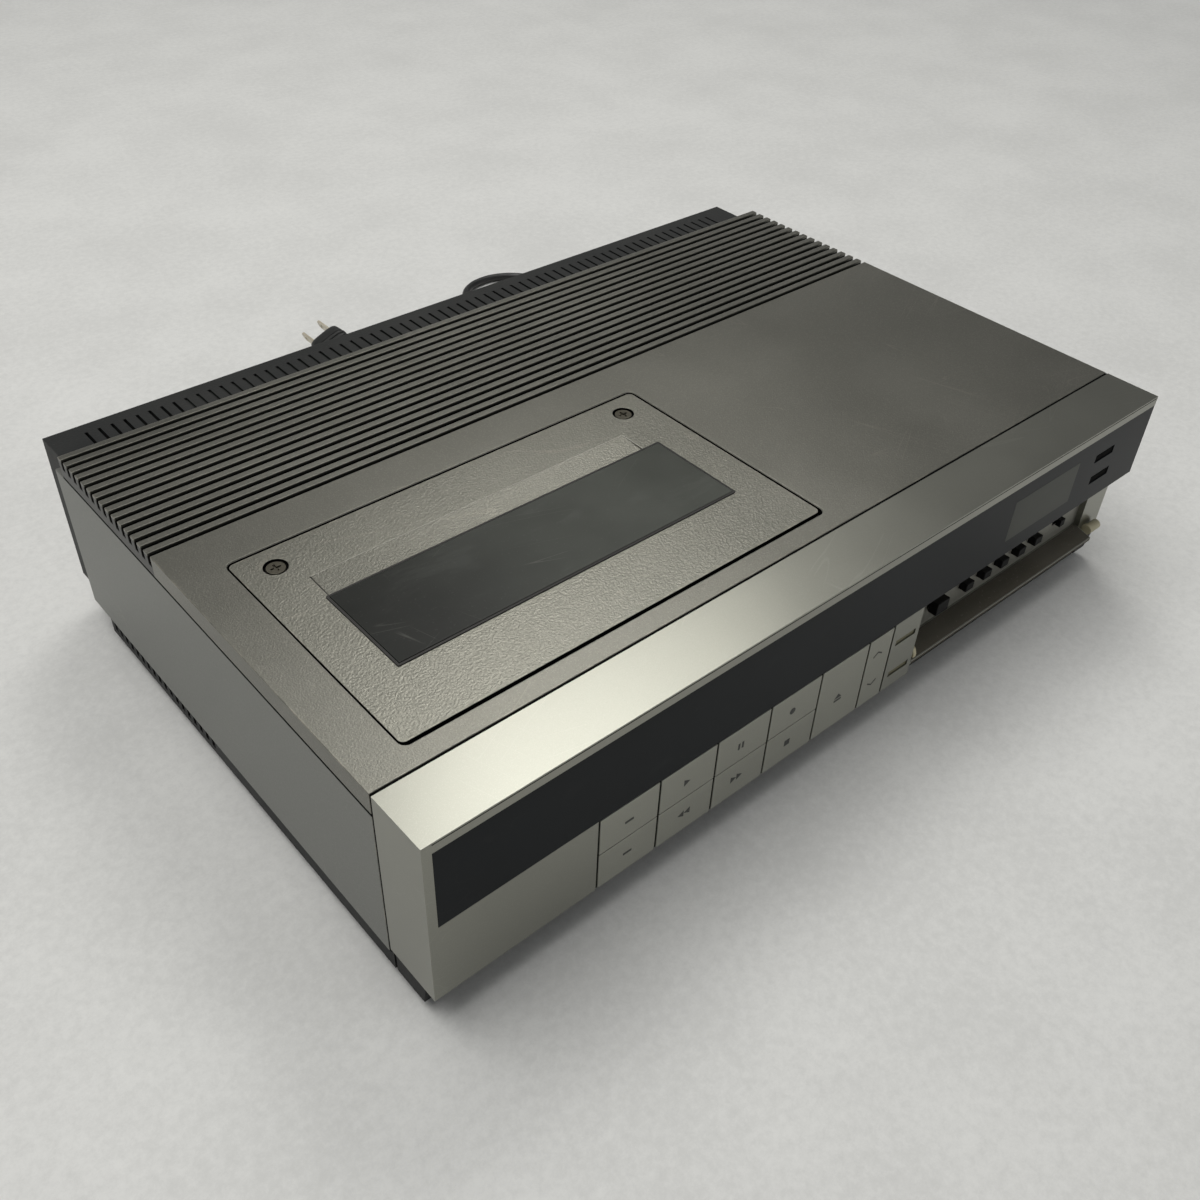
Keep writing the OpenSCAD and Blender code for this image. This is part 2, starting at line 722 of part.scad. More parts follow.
// A point on the smooth curve through four neighbours
function blend_point(a, b, c, d, t) =
    0.5 * (2 * b + (c - a) * t + (2 * a - 5 * b + 4 * c - d) * t * t + (3 * b - a - 3 * c + d) * t * t * t);
function smooth(path, steps) = [for (i = [0 : len(path) - 2], s = [0 : steps - 1])
    blend_point(path[max(i - 1, 0)], path[i], path[i + 1], path[min(i + 2, len(path) - 1)], s / steps),
    path[len(path) - 1]];

module tube(route, r) {
    sides = 8;
    path = smooth(route, 2);
    rings = [for (i = [0 : len(path) - 1]) each ring(path[i], heading(path, i), r, sides)];
    last = len(path) - 1;
    polyhedron(points = rings, faces = concat(
        [for (i = [0 : last - 1], k = [0 : sides - 1]) let (n = (k + 1) % sides)
            [i * sides + k, i * sides + n, (i + 1) * sides + n, (i + 1) * sides + k]],
        [[for (k = [sides - 1 : -1 : 0]) k]],
        [[for (k = [0 : sides - 1]) last * sides + k]]), convexity = 8);
}

module power_cord() color(black) in_case() tube(lead_route, cord_r);

module cord_tail() color(black) in_case() tube(tail_route, cord_r);

module cord_coil() {
    color(black) in_case() translate([coil_x, coil_y, 0]) rotate_extrude()
        round_rect([coil_in_r, 0], [coil_out_r, coil_h], cord_r);
}

module mains_plug() {
    color(black) in_case() translate([plug_x, plug_y, plug_z]) rotate([0, -plug_roll, 0]) {
        difference() {
            union() {
                block([-plug_w / 2, 8, -plug_t / 2], [plug_w / 2, plug_l, plug_t / 2]);
                block([-plug_w / 3, 0, -plug_t / 3], [plug_w / 3, 8, plug_t / 3]);
            }
            for (s = [-1, 1], i = [0 : 3])
                block([-plug_w, 11 + 4 * i, s * plug_t / 2 - 0.6], [plug_w, 13 + 4 * i, s * plug_t / 2 + 0.6]);
        }
        for (s = [-1, 1]) translate([s * blade_gap / 2, plug_l, 0])
            block([-blade_t / 2, 0, -blade_w / 2], [blade_t / 2, blade_l, blade_w / 2]);
    }
}

module deck_chassis() {
    color(steel) in_case() difference() {
        union() {
            block([deck_x0, deck_y0, deck_z], [deck_x1, deck_y1, deck_top]);
            // lever carrier in front of the holder
            for (x = [lever_x - lever_t / 2 - rest_gap - 2, lever_x + lever_t / 2 + rest_gap])
                block([x, lever_y - 4, deck_top], [x + 2, lever_y + 4, lever_pivot_z + 4]);
        }
        for (s = [-1, 1]) rod_z([lid_mid_x + s * reel_gap / 2, reel_y, deck_z - 1], shaft_r + shaft_fit, deck_t + 2);
        rod_z([capstan_x, capstan_y, deck_z - 1], capstan_r + shaft_fit, deck_t + 2);
        rod_z([pinch_x, pinch_y, deck_z - 1], shaft_r + shaft_fit, deck_t + 2);
        for (s = [-1, 1]) block([lid_mid_x + s * post_reach - post_r - slide_fit, post_y - post_r - 1, deck_z - 1],
            [lid_mid_x + s * post_reach + post_r + slide_fit, post_y + post_travel + post_r + 1, deck_top + 1]);
        rod_x([lever_x - 8, lever_y, lever_pivot_z], pivot_r + pivot_fit, 16);
        for (p = pillars()) rod_z([p[0], p[1], deck_z - 1], screw_r + screw_fit, deck_t + 2);
    }
}

// The head drum leans back by its tilt
module drum_axis() translate([lid_mid_x, drum_y, drum_z]) rotate([drum_tilt, 0, 0]) children();

module tape_path() {
    color(steel) in_case() {
        difference() {
            union() {
                drum_axis() translate([0, 0, -lower_drum_h]) cylinder(r = drum_r, h = lower_drum_h, $fn = 96);
                drum_axis() translate([0, 0, -2 * lower_drum_h]) cylinder(r = drum_r - 8, h = lower_drum_h + 1);
            }
            drum_axis() translate([0, 0, -lower_drum_h / 2]) cylinder(r = shaft_r + shaft_fit, h = lower_drum_h);
            block([lid_mid_x - 2 * drum_r, drum_y - 2 * drum_r, 0], [lid_mid_x + 2 * drum_r, drum_y + 2 * drum_r, deck_top]);
        }
        // erase head and sound head
        block([lid_mid_x - 72, holder_y1 + 14, deck_top], [lid_mid_x - 60, holder_y1 + 24, deck_top + 24]);
        block([lid_mid_x + 56, holder_y1 + 16, deck_top], [lid_mid_x + 68, holder_y1 + 27, deck_top + 26]);
        // fixed guide posts
        for (x = [-88, 84]) {
            rod_z([lid_mid_x + x, holder_y1 + 6, deck_top], 4, 3);
            rod_z([lid_mid_x + x, holder_y1 + 6, deck_top], 2, 32);
        }
    }
}

module upper_drum() {
    color(steel) in_case() drum_axis() difference() {
        union() {
            translate([0, 0, rest_gap]) cylinder(r = drum_r, h = upper_drum_h, $fn = 96);
            translate([0, 0, 1 - lower_drum_h / 2]) cylinder(r = shaft_r, h = upper_drum_h);
        }
        translate([0, 0, upper_drum_h - 3]) difference() {
            cylinder(r = drum_r - 4, h = 6);
            translate([0, 0, -1]) cylinder(r = 9, h = 8);
        }
        for (s = [-1, 1]) translate([s * drum_r, 0, -1]) translate([-1.5, -2, 0]) cube([3, 4, 3]);
    }
}

module reel(x) {
    color(dark) in_case() {
        rod_z([x, reel_y, deck_top + rest_gap], reel_r, 4);
        rod_z([x, reel_y, deck_z - 2], shaft_r, 8);
        rod_z([x, reel_y, deck_top + 4], 6, spindle_top - deck_top - 4);
        for (a = [0, 120, 240]) translate([x, reel_y, deck_top + 4]) rotate(a)
            block([4, -1, 0], [9, 1, spindle_top - deck_top - 8]);
    }
}

module supply_reel() reel(lid_mid_x - reel_gap / 2);

module takeup_reel() reel(lid_mid_x + reel_gap / 2);

module capstan_rotor() {
    color(steel) in_case() {
        rod_z([capstan_x, capstan_y, flywheel_z - 3], capstan_r, holder_z0 + 22 - flywheel_z);
        rod_z([capstan_x, capstan_y, flywheel_z], flywheel_r, 7);
    }
}

module capstan_stator() {
    color(dark) in_case() difference() {
        rod_z([capstan_x, capstan_y, flywheel_z + 7 + rest_gap], flywheel_r - 8, deck_z - flywheel_z - 7 - rest_gap);
        rod_z([capstan_x, capstan_y, flywheel_z], capstan_r + shaft_fit, deck_z);
    }
}

module pinch_arm() {
    reach = norm([roller_dx, roller_dy]);
    turn = atan2(roller_dy, roller_dx);
    z0 = deck_top + rest_gap;
    color(dark) in_case() {
        translate([pinch_x, pinch_y, z0]) rotate(turn) {
            translate([0, -3, 0]) cube([reach, 6, 3]);
            translate([reach, 0, 0]) cylinder(r = 4, h = 3);
            cylinder(r = 5, h = 6);
        }
        rod_z([pinch_x, pinch_y, deck_z - 2], shaft_r, deck_t + 4);
        rod_z([pinch_x + roller_dx, pinch_y + roller_dy, z0], 2, 34);
        translate([pinch_x + roller_dx, pinch_y + roller_dy, z0 + 6]) difference() {
            cylinder(r = roller_r, h = 22);
            translate([0, 0, -1]) cylinder(r = 2 + shaft_fit, h = 24);
        }
        rod_z([pinch_x + roller_dx, pinch_y + roller_dy, z0], 3, 5.8);
    }
}

module threading_posts() {
    color(steel) in_case() for (s = [-1, 1]) translate([lid_mid_x + s * post_reach, post_y, 0]) {
        block([-post_r, -post_r, deck_z - 2], [post_r, post_r, deck_top + rest_gap]);
        block([-6, -6, deck_top + rest_gap], [6, 6, deck_top + 4]);
        rod_z([0, 0, deck_top + 4], post_r, 22);
        rod_z([0, 0, deck_top + 24], post_r + 2, 2);
    }
}

module main_board() {
    z1 = main_board_z + board_t;
    split_x = deck_x1 + 2;
    signal_x0 = split_x + 4;
    color(board_green) in_case() {
        block([deck_x0 + 4, deck_y0 + 40, main_board_z], [split_x - 4, deck_y1 - 40, z1]);
        block([signal_x0, cover_y0 + 12, main_board_z], [case_w - 16, signal_y1, z1]);
        for (i = [0 : 3]) rod_z([signal_x0 + 18 + 16 * i, cover_y0 + 24, z1], can_r / 2, can_h / 2);
        for (i = [0 : 2]) block([signal_x0 + 12 + (chip_w + 10) * i, signal_y1 - 5 - chip_d, z1],
            [signal_x0 + 12 + (chip_w + 10) * i + chip_w, signal_y1 - 5, z1 + chip_h]);
        for (i = [0 : 3]) block([deck_x0 + 14 + (chip_w + 4) * i, deck_y0 + 56, z1],
            [deck_x0 + 14 + (chip_w + 4) * i + chip_w, deck_y0 + 56 + chip_d, z1 + chip_h]);
    }
}

module tuner_module() {
    x0 = deck_x1 + 30;
    z0 = main_board_z + board_t;
    color(steel) in_case() difference() {
        block([x0, tuner_y, z0], [x0 + tuner_w, tuner_y + tuner_d, z0 + tuner_h]);
        for (i = [0 : 3]) rod_z([x0 + tuner_w / 8 + tuner_w / 4 * i, tuner_y + tuner_d / 4, z0 + tuner_h - 4], 3, 10);
    }
}

module power_supply() {
    x1 = case_w - 30;
    y1 = deck_y1 - 2;
    core_x0 = x1 - supply_gap - core_w;
    board_x1 = core_x0 - 2 * supply_gap;
    board_x0 = deck_x1 + 14;
    z1 = floor_z + board_t;
    color(steel) in_case() {
        // transformer: core, winding and mounting frame
        block([core_x0 - supply_gap, y1 - core_d - 2 * supply_gap, floor_z], [x1, y1, floor_z + frame_t]);
        block([core_x0, y1 - supply_gap - core_d, floor_z + frame_t], [x1 - supply_gap, y1 - supply_gap, floor_z + frame_t + core_h]);
        block([core_x0 + 8, y1 - supply_gap - core_d - winding_d, floor_z + 10],
            [x1 - supply_gap - 8, y1 - supply_gap - core_d, floor_z + 10 + winding_h]);
        // rectifier board with its capacitors and heat sink
        block([board_x0, y1 - supply_d, floor_z], [board_x1, y1, z1]);
        for (i = [0, 1]) rod_z([board_x0 + can_r + 5 + (2 * can_r + 6) * i, y1 - supply_d + can_r + 5, z1], can_r, can_h);
        block([board_x0 + 6, y1 - 4 - fin_d - 4, z1], [board_x1 - 8, y1 - 4 - fin_d, z1 + sink_h]);
        for (i = [0 : 7]) block([board_x0 + 8 + 3 * fin_w * i, y1 - 4 - fin_d, z1 + 2],
            [board_x0 + 8 + 3 * fin_w * i + fin_w, y1 - 4, z1 + sink_h]);
    }
}

module key_board() {
    x0 = keys_x - 20;
    x1 = recess_x1 + 14;
    color(board_green) in_case() {
        difference() {
            block([x0, board_y, lower_edge_z + wall + 1], [x1, board_y + board_t, band_z1 - 0.5]);
            block([lever_x - 6, board_y - 1, key_mid_z - 6], [lever_x + 6, board_y + board_t + 1, key_mid_z + 6]);
        }
        // clock tube, with its pins in the board
        block([display_x1 - display_w, 2 * band_t - 2, display_z0], [display_x1, board_y, display_z1]);
    }
}

module lift_frame() {
    arm_mid = arm_x + arm_t / 2;
    color(steel) in_case() both_lift_sides() {
        block([bracket_x, bracket_y0, deck_top], [bracket_x + sheet, bracket_y1, bracket_z1]);
        for (p = [[front_pivot_y, arm_x + arm_step], [rear_pivot_y, arm_x]]) {
            rod_x([p[1] - 0.8, p[0] + arm_dy, pivot_z + arm_dz], pivot_r, bracket_x - p[1] + 0.8);
            // torsion spring around the pivot
            translate([bracket_x - spring_l - rest_gap / 2, p[0] + arm_dy, pivot_z + arm_dz])
                rotate([0, 90, 0]) lift_spring();
        }
    }
}

// Close-wound spring, drawn as one ribbed sleeve
module lift_spring() {
    turns = 3;
    wire = spring_l / turns;
    rotate_extrude() {
        translate([pivot_r + pivot_fit, 0]) square([1.2, turns * wire]);
        for (i = [0 : turns - 1]) translate([pivot_r + pivot_fit + 1.2, (i + 0.5) * wire]) circle(wire / 2);
    }
}

// Arms from the holder pivots at y back to the bracket pivots
module lift_arm_pair(x, y) {
    color(steel) in_case() both_lift_sides() translate([x, y, pivot_z]) difference() {
        union() {
            rotate([90 + arm_dip, 0, 0]) rotate([0, 90, 0]) translate([0, 0.8 - arm_r, 0]) cube([arm_l, 2 * arm_r - 1.6, arm_t]);
            rotate([0, 90, 0]) cylinder(r = arm_r, h = arm_t);
            translate([0, arm_dy, arm_dz]) rotate([0, 90, 0]) cylinder(r = arm_r, h = arm_t);
        }
        translate([-1, 0, 0]) rotate([0, 90, 0]) cylinder(r = pivot_r + pivot_fit, h = arm_t + 2);
        translate([-1, arm_dy, arm_dz]) rotate([0, 90, 0]) cylinder(r = pivot_r + pivot_fit, h = arm_t + 2);
    }
}

module lift_arms_front() lift_arm_pair(arm_x + arm_step, front_pivot_y);

module lift_arms_rear() lift_arm_pair(arm_x, rear_pivot_y);

module cassette_holder() {
    lip = 14;
    color(steel) in_case() difference() {
        union() {
            block([holder_x0, holder_y0, holder_z1 - sheet], [holder_x1, holder_y1, holder_z1]);
            for (x = [holder_x0, holder_x1 - sheet])
                block([x, holder_y0, holder_z0], [x + sheet, holder_y1, holder_z1]);
            block([holder_x0, holder_y0, holder_z0], [holder_x0 + lip, holder_y1, holder_z0 + sheet]);
            block([holder_x1 - lip, holder_y0, holder_z0], [holder_x1, holder_y1, holder_z0 + sheet]);
            // stops at the back that the cassette meets
            block([holder_x0, holder_y1 - sheet, holder_z0], [holder_x0 + lip, holder_y1, holder_z1]);
            block([holder_x1 - lip, holder_y1 - sheet, holder_z0], [holder_x1, holder_y1, holder_z1]);
            both_lift_sides() {
                rod_x([holder_out_w / 2 - 0.5, front_pivot_y, pivot_z], pivot_r, arm_gap + arm_step + arm_t + 0.8);
                rod_x([holder_out_w / 2 - 0.5, rear_pivot_y, pivot_z], pivot_r, arm_gap + arm_t + 0.8);
            }
        }
        for (x = [lid_in_x0 + lid_screw_x - 0.6, lid_in_x1 - lid_screw_x + 0.6])
            rod_z([x, lid_in_y1 - lid_screw_y, holder_z1 - sheet - 1], screw_r + screw_fit, sheet + 2);
    }
}

// Middles of the two lid screws
function lid_screw_places() = [for (x = [lid_in_x0 + lid_screw_x - 0.6, lid_in_x1 - lid_screw_x + 0.6])
    [x, lid_in_y1 - lid_screw_y]];

module cassette_lid() {
    ramp_x0 = window_x0 + 0.5;
    ramp_x1 = window_x0 + window_w - 8;
    color(bronze) in_case() difference() {
        round_plate([lid_in_x0, lid_in_y0, lid_z0], [lid_in_x1, lid_in_y1, lid_z1], lid_corner_r);
        block([window_x0, window_y0, lid_z1 - window_seat], [window_x0 + window_w, window_y1, lid_z1 + 1]);
        // shallow ramp behind the window
        translate([ramp_x0, 0, 0]) rotate([90, 0, 90]) linear_extrude(ramp_x1 - ramp_x0)
            polygon([[window_y1 - 0.1, lid_z1 - ramp_depth], [window_y1 + ramp_d, lid_z1],
                [window_y1 + ramp_d, lid_z1 + 1], [window_y1 - 0.1, lid_z1 + 1]]);
        for (p = lid_screw_places()) {
            rod_z([p[0], p[1], lid_z0 - 1], screw_r + screw_fit, lid_t + 2);
            rod_z([p[0], p[1], lid_z1 - 1.6], 5, 3);
        }
    }
}

module lid_window() {
    color(smoke) in_case() difference() {
        block([window_x0 + 0.2, window_y0 + 0.2, lid_z1 - window_seat],
            [window_x0 + window_w - 0.2, window_y1 - 0.2, lid_z1 + window_rise]);
    }
}

module lid_screws() {
    head = 1.1;
    color(steel) in_case() for (p = lid_screw_places()) difference() {
        union() {
            rod_z([p[0], p[1], lid_z1 - 1.6], 3.9, head);
            rod_z([p[0], p[1], lid_z0 - sheet - 2], screw_r, lid_t + sheet + 1);
        }
        for (a = [0, 90]) translate([p[0], p[1], lid_z1 - 1.6 + head - 0.7]) rotate(a)
            block([-2.2, -0.5, 0], [2.2, 0.5, 1]);
    }
}

module lid_latch() {
    color(steel) in_case() {
        block([lever_x - lever_t / 2, lever_y - lever_w / 2, lever_pivot_z - lever_low],
            [lever_x + lever_t / 2, lever_y + lever_w / 2, lever_pivot_z + lever_high]);
        block([lever_x - lever_t / 2, lever_y, lever_pivot_z + lever_high - 3],
            [lever_x + lever_t / 2, lever_y + lever_w / 2 + 3, lever_pivot_z + lever_high]);
        rod_x([lever_x - lever_t / 2 - rest_gap - 2, lever_y, lever_pivot_z], pivot_r, lever_t + 2 * rest_gap + 4);
    }
}

// A flat cap with a stem that reaches towards the key board
module transport_key(column, z0, z1) {
    x0 = keys_x + column * key_pitch;
    x = x0 + (key_pitch - key_gap) / 2;
    z = (z0 + z1) / 2;
    stem_x = keys_x + (column + 0.5) * key_pitch;
    color(silver) in_case() {
        block([x0, 0, z0], [x0 + key_pitch - key_gap, key_t, z1]);
        block([stem_x - stem / 2, key_t - 0.5, z - stem / 2], [stem_x + stem / 2, board_y - rest_gap - key_travel, z + stem / 2]);
    }
}

row_gap = 0.5;
module upper_key(column) transport_key(column, key_mid_z + row_gap / 2, key_z1);
module lower_key(column) transport_key(column, key_z0, key_mid_z - row_gap / 2);

module power_key() upper_key(0);
module source_key() lower_key(0);
module play_key() upper_key(1);
module rewind_key() lower_key(1);
module pause_key() upper_key(2);
module forward_key() lower_key(2);
module record_key() upper_key(3);
module stop_key() lower_key(3);

module eject_key() {
    x0 = keys_x + 4 * key_pitch;
    back = board_y + board_t + 4;
    rod_z0 = deck_top + 4;
    color(silver) in_case() {
        block([x0, 0, key_z0], [x0 + key_pitch - key_gap, key_t, key_z1]);
        block([lever_x - stem / 2, key_t - 0.5, key_mid_z - stem / 2],
            [lever_x + stem / 2, back, key_mid_z + stem / 2]);
        // riser and push rod over the deck plate
        block([lever_x - lever_t / 2, back - 3, key_mid_z], [lever_x + lever_t / 2, back, rod_z0 + 4]);
        block([lever_x - lever_t / 2, back - 3, rod_z0],
            [lever_x + lever_t / 2, lever_y - lever_w / 2 - rest_gap, rod_z0 + 4]);
    }
}

module channel_rocker() {
    rib = 1.5;
    color(silver) in_case() {
        block([rocker_x, 0, key_z0], [rocker_x + rocker_w, key_t, key_z1]);
        block([rocker_x + 1, key_t - 0.5, key_mid_z - rib], [rocker_x + rocker_w - 1, guide_y - rest_gap - rib, key_mid_z + rib]);
        rod_x([rocker_x + 1, guide_y - rest_gap - rib, key_mid_z], rib, rocker_w - 2);
    }
}

module timer_key(z) {
    color(dark) in_case() block([timer_key_x(), 0.6, z - timer_key_h / 2],
        [timer_key_x() + timer_key_w, board_y - rest_gap - option_travel, z + timer_key_h / 2]);
}

module timer_key_upper() timer_key(timer_zs()[1]);
module timer_key_lower() timer_key(timer_zs()[0]);

module option_key(i) {
    x = option_x0 + (i - 1) * option_pitch;
    color(black) in_case() block([x - option_key_w / 2, recess_d - 4, option_z - option_key_h / 2],
        [x + option_key_w / 2, board_y - rest_gap - option_travel, option_z + option_key_h / 2]);
}

module option_key_1() option_key(1);
module option_key_2() option_key(2);
module option_key_3() option_key(3);
module option_key_4() option_key(4);
module option_key_5() option_key(5);

module speed_switch() {
    color(black) in_case() {
        block([speed_x - 4.5, recess_d - 5, option_z - 3.5], [speed_x + 4.5, recess_d - rest_gap, option_z + 3.5]);
        block([speed_x - 2, recess_d - 1, option_z - 1.5], [speed_x + 2, board_y - rest_gap, option_z + 1.5]);
    }
}

module mode_switch() {
    color(ivory) in_case() {
        block([mode_x - 2, recess_d - 3, option_z - 2], [mode_x + 2, recess_d - rest_gap, option_z + 2]);
        block([mode_x - 1.5, recess_d - 1, option_z - 1.2], [mode_x + 1.5, board_y - rest_gap, option_z + 1.2]);
    }
}

module band_key(z) {
    shift = z > band_z0 + 20 ? 0 : 2;
    color(black) in_case() block([band_key_x + shift, 0.4, z - band_key_h / 2],
        [band_key_x + shift + band_key_w, board_y - rest_gap - option_travel, z + band_key_h / 2]);
}

module band_key_upper() band_key(band_key_zs()[1]);
module band_key_lower() band_key(band_key_zs()[0]);

base_tray();
feet();
case_screws();
left_side_panel();
right_side_panel();
top_cover();
rear_cover();
front_fascia();
front_plinth();
front_band();
recess_panel();
hinge_stubs();
terminal_plate();
cord_gland();
power_cord();
cord_coil();
cord_tail();
mains_plug();
deck_chassis();
tape_path();
main_board();
tuner_module();
power_supply();
key_board();
lift_frame();
capstan_stator();
cassette_lid();
lid_window();
lid_screws();
cassette_holder();
lift_arms_front();
lift_arms_rear();
lid_latch();
upper_drum();
capstan_rotor();
pinch_arm();
supply_reel();
takeup_reel();
threading_posts();
power_key();
source_key();
play_key();
rewind_key();
pause_key();
forward_key();
record_key();
stop_key();
eject_key();
channel_rocker();
timer_key_upper();
timer_key_lower();
option_key_1();
option_key_2();
option_key_3();
option_key_4();
option_key_5();
speed_switch();
mode_switch();
band_key_upper();
band_key_lower();
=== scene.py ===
"""Looks for a top-loading video cassette recorder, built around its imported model.

Lengths in the classes of the pieces are case millimetres: x from the left
side, y from the front, z from the table. CaseFrame turns them into the
model's own metres. Lengths in the finishes, effects and studio are metres.
"""

from __future__ import annotations

import json
import logging
import math
from dataclasses import dataclass
from enum import Enum
from typing import Iterable, Mapping, Sequence

import bmesh
import bpy
from mathutils import Matrix, Vector

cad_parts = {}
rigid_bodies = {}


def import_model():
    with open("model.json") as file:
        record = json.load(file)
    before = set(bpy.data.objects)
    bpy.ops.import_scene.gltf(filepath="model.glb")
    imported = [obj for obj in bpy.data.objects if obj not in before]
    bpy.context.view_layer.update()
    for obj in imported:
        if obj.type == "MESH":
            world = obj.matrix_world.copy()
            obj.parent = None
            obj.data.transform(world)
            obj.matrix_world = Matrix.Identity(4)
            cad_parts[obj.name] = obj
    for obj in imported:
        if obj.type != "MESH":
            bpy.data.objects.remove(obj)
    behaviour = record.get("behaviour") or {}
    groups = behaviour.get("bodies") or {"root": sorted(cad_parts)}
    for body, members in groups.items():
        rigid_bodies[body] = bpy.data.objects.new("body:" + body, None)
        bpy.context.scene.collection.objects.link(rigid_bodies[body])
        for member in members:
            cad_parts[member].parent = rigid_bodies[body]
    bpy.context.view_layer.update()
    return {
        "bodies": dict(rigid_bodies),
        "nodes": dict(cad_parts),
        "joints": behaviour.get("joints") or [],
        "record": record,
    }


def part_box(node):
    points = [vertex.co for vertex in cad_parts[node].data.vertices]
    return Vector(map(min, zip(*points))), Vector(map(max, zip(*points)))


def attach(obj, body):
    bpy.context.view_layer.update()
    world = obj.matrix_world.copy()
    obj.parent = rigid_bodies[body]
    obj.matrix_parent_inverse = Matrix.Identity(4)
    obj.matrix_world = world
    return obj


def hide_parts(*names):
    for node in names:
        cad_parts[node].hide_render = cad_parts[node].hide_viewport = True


LOG = logging.getLogger("recorder")
MM = 0.001
Pair = tuple[float, float]
Point = tuple[float, float, float]
Sides = tuple[float, float, float, float]
Section = tuple[float, float, float, float]
Screen = tuple[int, int, int]
Colour = tuple[float, float, float, float]
Socket = bpy.types.NodeSocket


# Places and small helpers


@dataclass(frozen=True)
class CaseFrame:
    """Turns case millimetres into the model's metres."""

    width: float = 430.0
    depth: float = 298.0

    def at(self, x: float, y: float, z: float) -> Vector:
        """Place of a case point in the model's own frame.

        Args:
            x: Distance from the left side, in millimetres.
            y: Distance from the front, in millimetres.
            z: Height above the table, in millimetres.

        Returns:
            The same point in metres.
        """
        return Vector(((x - self.width / 2) * MM, (y - self.depth / 2) * MM, z * MM))


CASE = CaseFrame()


def tint(screen: Screen) -> Colour:
    """Colour of a screen value, as the shaders want it.

    Args:
        screen: Red, green and blue, each from 0 to 255.

    Returns:
        Linear red, green and blue, and an alpha of 1.
    """

    def linear(value: int) -> float:
        """Linear part of one screen value."""
        part = value / 255
        return part / 12.92 if part <= 0.04045 else ((part + 0.055) / 1.055) ** 2.4

    red, green, blue = screen
    return linear(red), linear(green), linear(blue), 1.0


def scaled(colour: Colour, share: float) -> Colour:
    """Darker or lighter tone of a colour.

    Args:
        colour: The colour.
        share: Its new strength, 1 for the same.

    Returns:
        The tone, which is never past white.
    """
    return tuple(min(1.0, c * share) for c in colour[:3]) + (1.0,)


